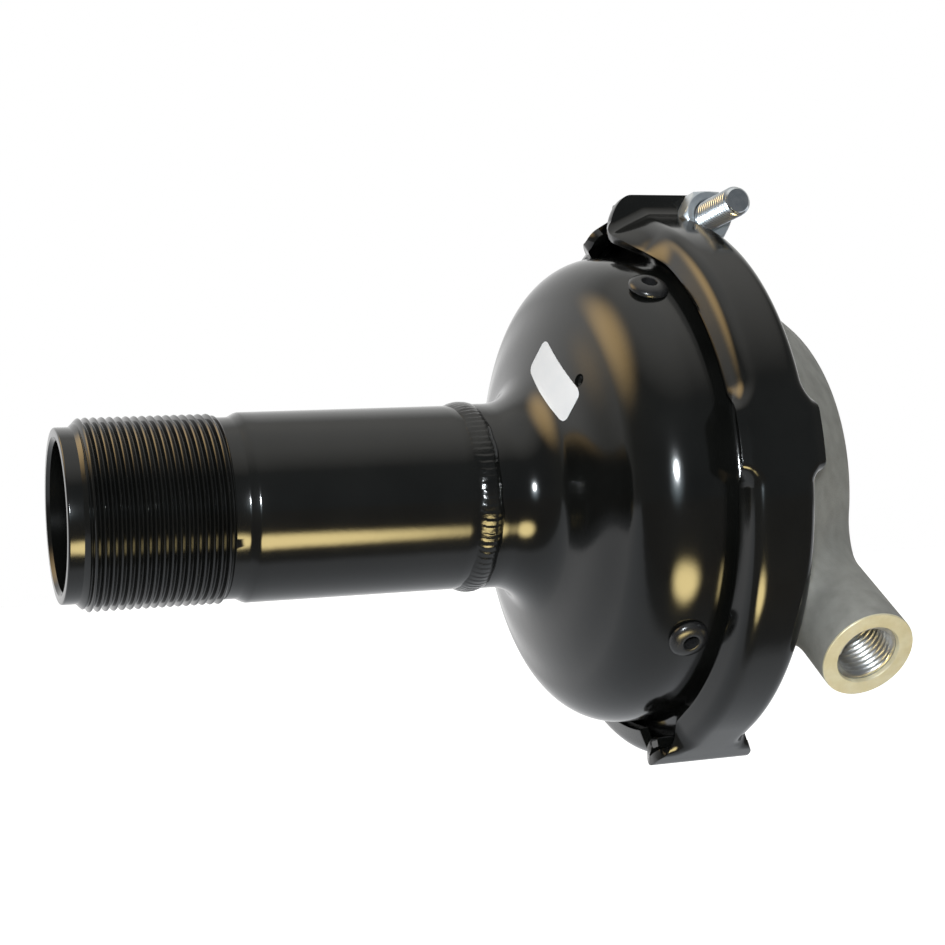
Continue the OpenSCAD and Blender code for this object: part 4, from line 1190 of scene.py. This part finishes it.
class CYL_OT_stage(bpy.types.Operator):
    """Camera, soft lights, white background and floor"""
    bl_idname = "cylinder.stage"
    bl_label = "Stage"

    def execute(self, context):
        scene = context.scene
        scene.view_settings.view_transform = "Standard"
        world = bpy.data.worlds.new("Studio")
        scene.world = world
        world.use_nodes = True
        nodes, links = world.node_tree.nodes, world.node_tree.links
        nodes.clear()
        out = nodes.new("ShaderNodeOutputWorld")
        path = nodes.new("ShaderNodeLightPath")
        backdrop = nodes.new("ShaderNodeBackground")
        backdrop.inputs["Color"].default_value = (1, 1, 1, 1)
        backdrop.inputs["Strength"].default_value = 1.0
        soft = nodes.new("ShaderNodeBackground")
        soft.inputs["Strength"].default_value = 1.0
        coord = nodes.new("ShaderNodeTexCoord")
        split = nodes.new("ShaderNodeSeparateXYZ")
        links.new(coord.outputs["Generated"], split.inputs[0])
        # Bright behind the object and overhead, dark where the camera stands
        behind = shade_ramp(nodes, links, split.outputs["Y"], -1, 1,
                            ((0.0, (0.13, 0.14, 0.15)), (0.55, (0.17, 0.17, 0.16)), (0.68, (0.42, 0.42, 0.4)),
                             (0.85, (0.95, 0.95, 0.93)), (1.0, (1, 1, 1))))
        above = shade_ramp(nodes, links, split.outputs["Z"], 0, 1,
                           ((0.0, (0, 0, 0)), (0.62, (0.1, 0.1, 0.1)), (0.82, (0.6, 0.59, 0.56)),
                            (0.93, (0.85, 0.84, 0.8)), (1.0, (0.9, 0.9, 0.87))))
        color = nodes.new("ShaderNodeMix")
        color.data_type, color.blend_type = "RGBA", "LIGHTEN"
        color.inputs["Factor"].default_value = 1.0
        links.new(behind, color.inputs["A"])
        links.new(above, color.inputs["B"])
        links.new(color.outputs["Result"], soft.inputs["Color"])
        mix = nodes.new("ShaderNodeMixShader")
        links.new(path.outputs["Is Camera Ray"], mix.inputs["Fac"])
        links.new(soft.outputs[0], mix.inputs[1])
        links.new(backdrop.outputs[0], mix.inputs[2])
        links.new(mix.outputs[0], out.inputs["Surface"])

        # Camera of the photograph: 70.5 mm lens on a 36 mm frame
        cam_x = Vector((0.93943, -0.34048, -0.03922)).normalized()
        cam_y = Vector((0.04171, 0.0, 0.99913)).normalized()
        cam_z = cam_x.cross(cam_y).normalized()
        eye = Vector((-0.097885, -0.46082, 0.012832))
        cam = bpy.data.cameras.new("Camera")
        cam.lens, cam.sensor_width = 70.476, 36.0
        cam.shift_y = 1.5 / 945
        cam.clip_start, cam.clip_end = 0.01, 50
        camera = bpy.data.objects.new("Camera", cam)
        camera.matrix_world = (Matrix.Translation(eye)
                               @ Matrix((cam_x, cam_y, cam_z)).transposed().to_4x4())
        scene.collection.objects.link(camera)
        scene.camera = camera

        centre = Vector((0.06, 0, 0))
        area_light("Key", (eye.x + 0.0, eye.y - 0.02, eye.z + 0.06), centre, 0.05, 1.95, (0.93, 0.97, 1.0))
        area_light("Sky", (-0.3, -0.2, 1.1), centre, 0.9, 2.6, (1.0, 0.99, 0.97), glossy=False)
        reflector("Key glow", (eye.x, eye.y - 0.01, eye.z + 0.03), centre, 0.26, 0.26, (0.7, 0.9, 1.0), 3.0)
        reflector("Low warm card", (0.075, -0.38, -0.325), (0.05, 0, 0), 0.5, 0.24, (1.0, 0.8, 0.36), 16.0, 0.25)
        reflector("High warm card", (-0.6, 0.26, 0.66), (0.09, 0, 0), 1.3, 1.1, (1.0, 0.68, 0.3), 4.5)

        low = min(CAD_BOX[0][2], CAD_BOX[1][2]) - 0.4
        floor = bpy.data.meshes.new("floor")
        floor.from_pydata([(-6, -6, low), (6, -6, low), (6, 6, low), (-6, 6, low)], [], [(0, 1, 2, 3)])
        obj = bpy.data.objects.new("floor", floor)
        scene.collection.objects.link(obj)
        mat = bpy.data.materials.new("Pale floor")
        mat.use_nodes = True
        n, l = mat.node_tree.nodes, mat.node_tree.links
        shader = n["Principled BSDF"]
        shader.inputs["Base Color"].default_value = (0.8, 0.8, 0.8, 1)
        shader.inputs["Roughness"].default_value = 0.9
        lift = n.new("ShaderNodeEmission")
        lift.inputs["Strength"].default_value = 0.75
        seen = n.new("ShaderNodeAddShader")
        view = n.new("ShaderNodeLightPath")
        blend, gloss = n.new("ShaderNodeMixShader"), n.new("ShaderNodeMixShader")
        # Painted reflection: to glossy rays the floor glows, darker in front of the object and white towards the back
        mirrored = n.new("ShaderNodeEmission")
        where, part = n.new("ShaderNodeTexCoord"), n.new("ShaderNodeSeparateXYZ")
        l.new(where.outputs["Object"], part.inputs[0])
        shade = shade_ramp(n, l, part.outputs["Y"], -0.5, 1.5,
                           ((0.0, (0.14, 0.13, 0.12)), (0.135, (0.17, 0.17, 0.17)), (0.175, (0.58, 0.6, 0.62)),
                            (0.3, (0.66, 0.69, 0.72)), (1.0, (1, 1, 1))))
        l.new(shade, mirrored.inputs["Color"])
        l.new(shader.outputs[0], seen.inputs[0])
        l.new(lift.outputs[0], seen.inputs[1])
        l.new(view.outputs["Is Camera Ray"], blend.inputs["Fac"])
        l.new(shader.outputs[0], blend.inputs[1])
        l.new(seen.outputs[0], blend.inputs[2])
        l.new(view.outputs["Is Glossy Ray"], gloss.inputs["Fac"])
        l.new(blend.outputs[0], gloss.inputs[1])
        l.new(mirrored.outputs[0], gloss.inputs[2])
        l.new(gloss.outputs[0], n["Material Output"].inputs["Surface"])
        floor.materials.append(mat)
        return {"FINISHED"}


class CylinderSizes(bpy.types.PropertyGroup):
    """Sizes and colours that a user would change"""
    thread_pitch_mm: FloatProperty(name="Thread pitch", description="Pitch of the mounting thread, in millimetres",
                                   default=2.0, min=1.5, max=3.0)
    weld_crown_mm: FloatProperty(name="Weld crown", description="Height of the weld over the tube, in millimetres",
                                 default=0.75, min=0.2, max=1.5)
    weld_ripples: IntProperty(name="Weld ripples", description="Number of ripples round the weld", default=84,
                              min=20, max=200)
    label_length_mm: FloatProperty(name="Label length", description="Length of the label, in millimetres",
                                   default=26.6, min=20, max=30)
    label_width_mm: FloatProperty(name="Label width", description="Width of the label, in millimetres",
                                  default=10.0, min=8, max=14)
    turn_segments: IntProperty(name="Turned segments", description="Segments round the turned pieces", default=192,
                               min=64, max=256)
    paint_color: FloatVectorProperty(name="Paint", description="Colour of the black paint", subtype="COLOR",
                                     default=(0.0032, 0.0034, 0.0031), min=0, max=1)
    casting_color: FloatVectorProperty(name="Casting", description="Colour of the cast housing", subtype="COLOR",
                                       default=(0.27, 0.27, 0.25), min=0, max=1)


class CYL_PT_panel(bpy.types.Panel):
    """Sidebar panel that lists the pieces"""
    bl_idname = "CYL_PT_panel"
    bl_label = "Diaphragm cylinder"
    bl_space_type = "VIEW_3D"
    bl_region_type = "UI"
    bl_category = "Cylinder"

    def draw(self, context):
        sizes = context.scene.cylinder_sizes
        for key in sizes.bl_rna.properties.keys():
            if key not in ("rna_type", "name"):
                self.layout.prop(sizes, key)
        for operator in STEPS:
            self.layout.operator(operator.bl_idname)


STEPS = (CYL_OT_tube, CYL_OT_weld, CYL_OT_dome, CYL_OT_vents, CYL_OT_label, CYL_OT_clamp, CYL_OT_fasteners,
         CYL_OT_housing, CYL_OT_inside, CYL_OT_stage)
CLASSES = (CylinderSizes,) + STEPS + (CYL_PT_panel,)


def register():
    for cls in CLASSES:
        bpy.utils.register_class(cls)
    bpy.types.Scene.cylinder_sizes = PointerProperty(type=CylinderSizes)


def unregister():
    del bpy.types.Scene.cylinder_sizes
    for cls in reversed(CLASSES):
        bpy.utils.unregister_class(cls)


def main():
    register()
    make_materials(bpy.context.scene.cylinder_sizes)
    bpy.ops.cylinder.tube()
    bpy.ops.cylinder.weld()
    bpy.ops.cylinder.dome()
    bpy.ops.cylinder.vents()
    bpy.ops.cylinder.label()
    bpy.ops.cylinder.clamp()
    bpy.ops.cylinder.fasteners()
    bpy.ops.cylinder.housing()
    bpy.ops.cylinder.inside()
    bpy.ops.cylinder.stage()


if __name__ == "__main__":
    main()
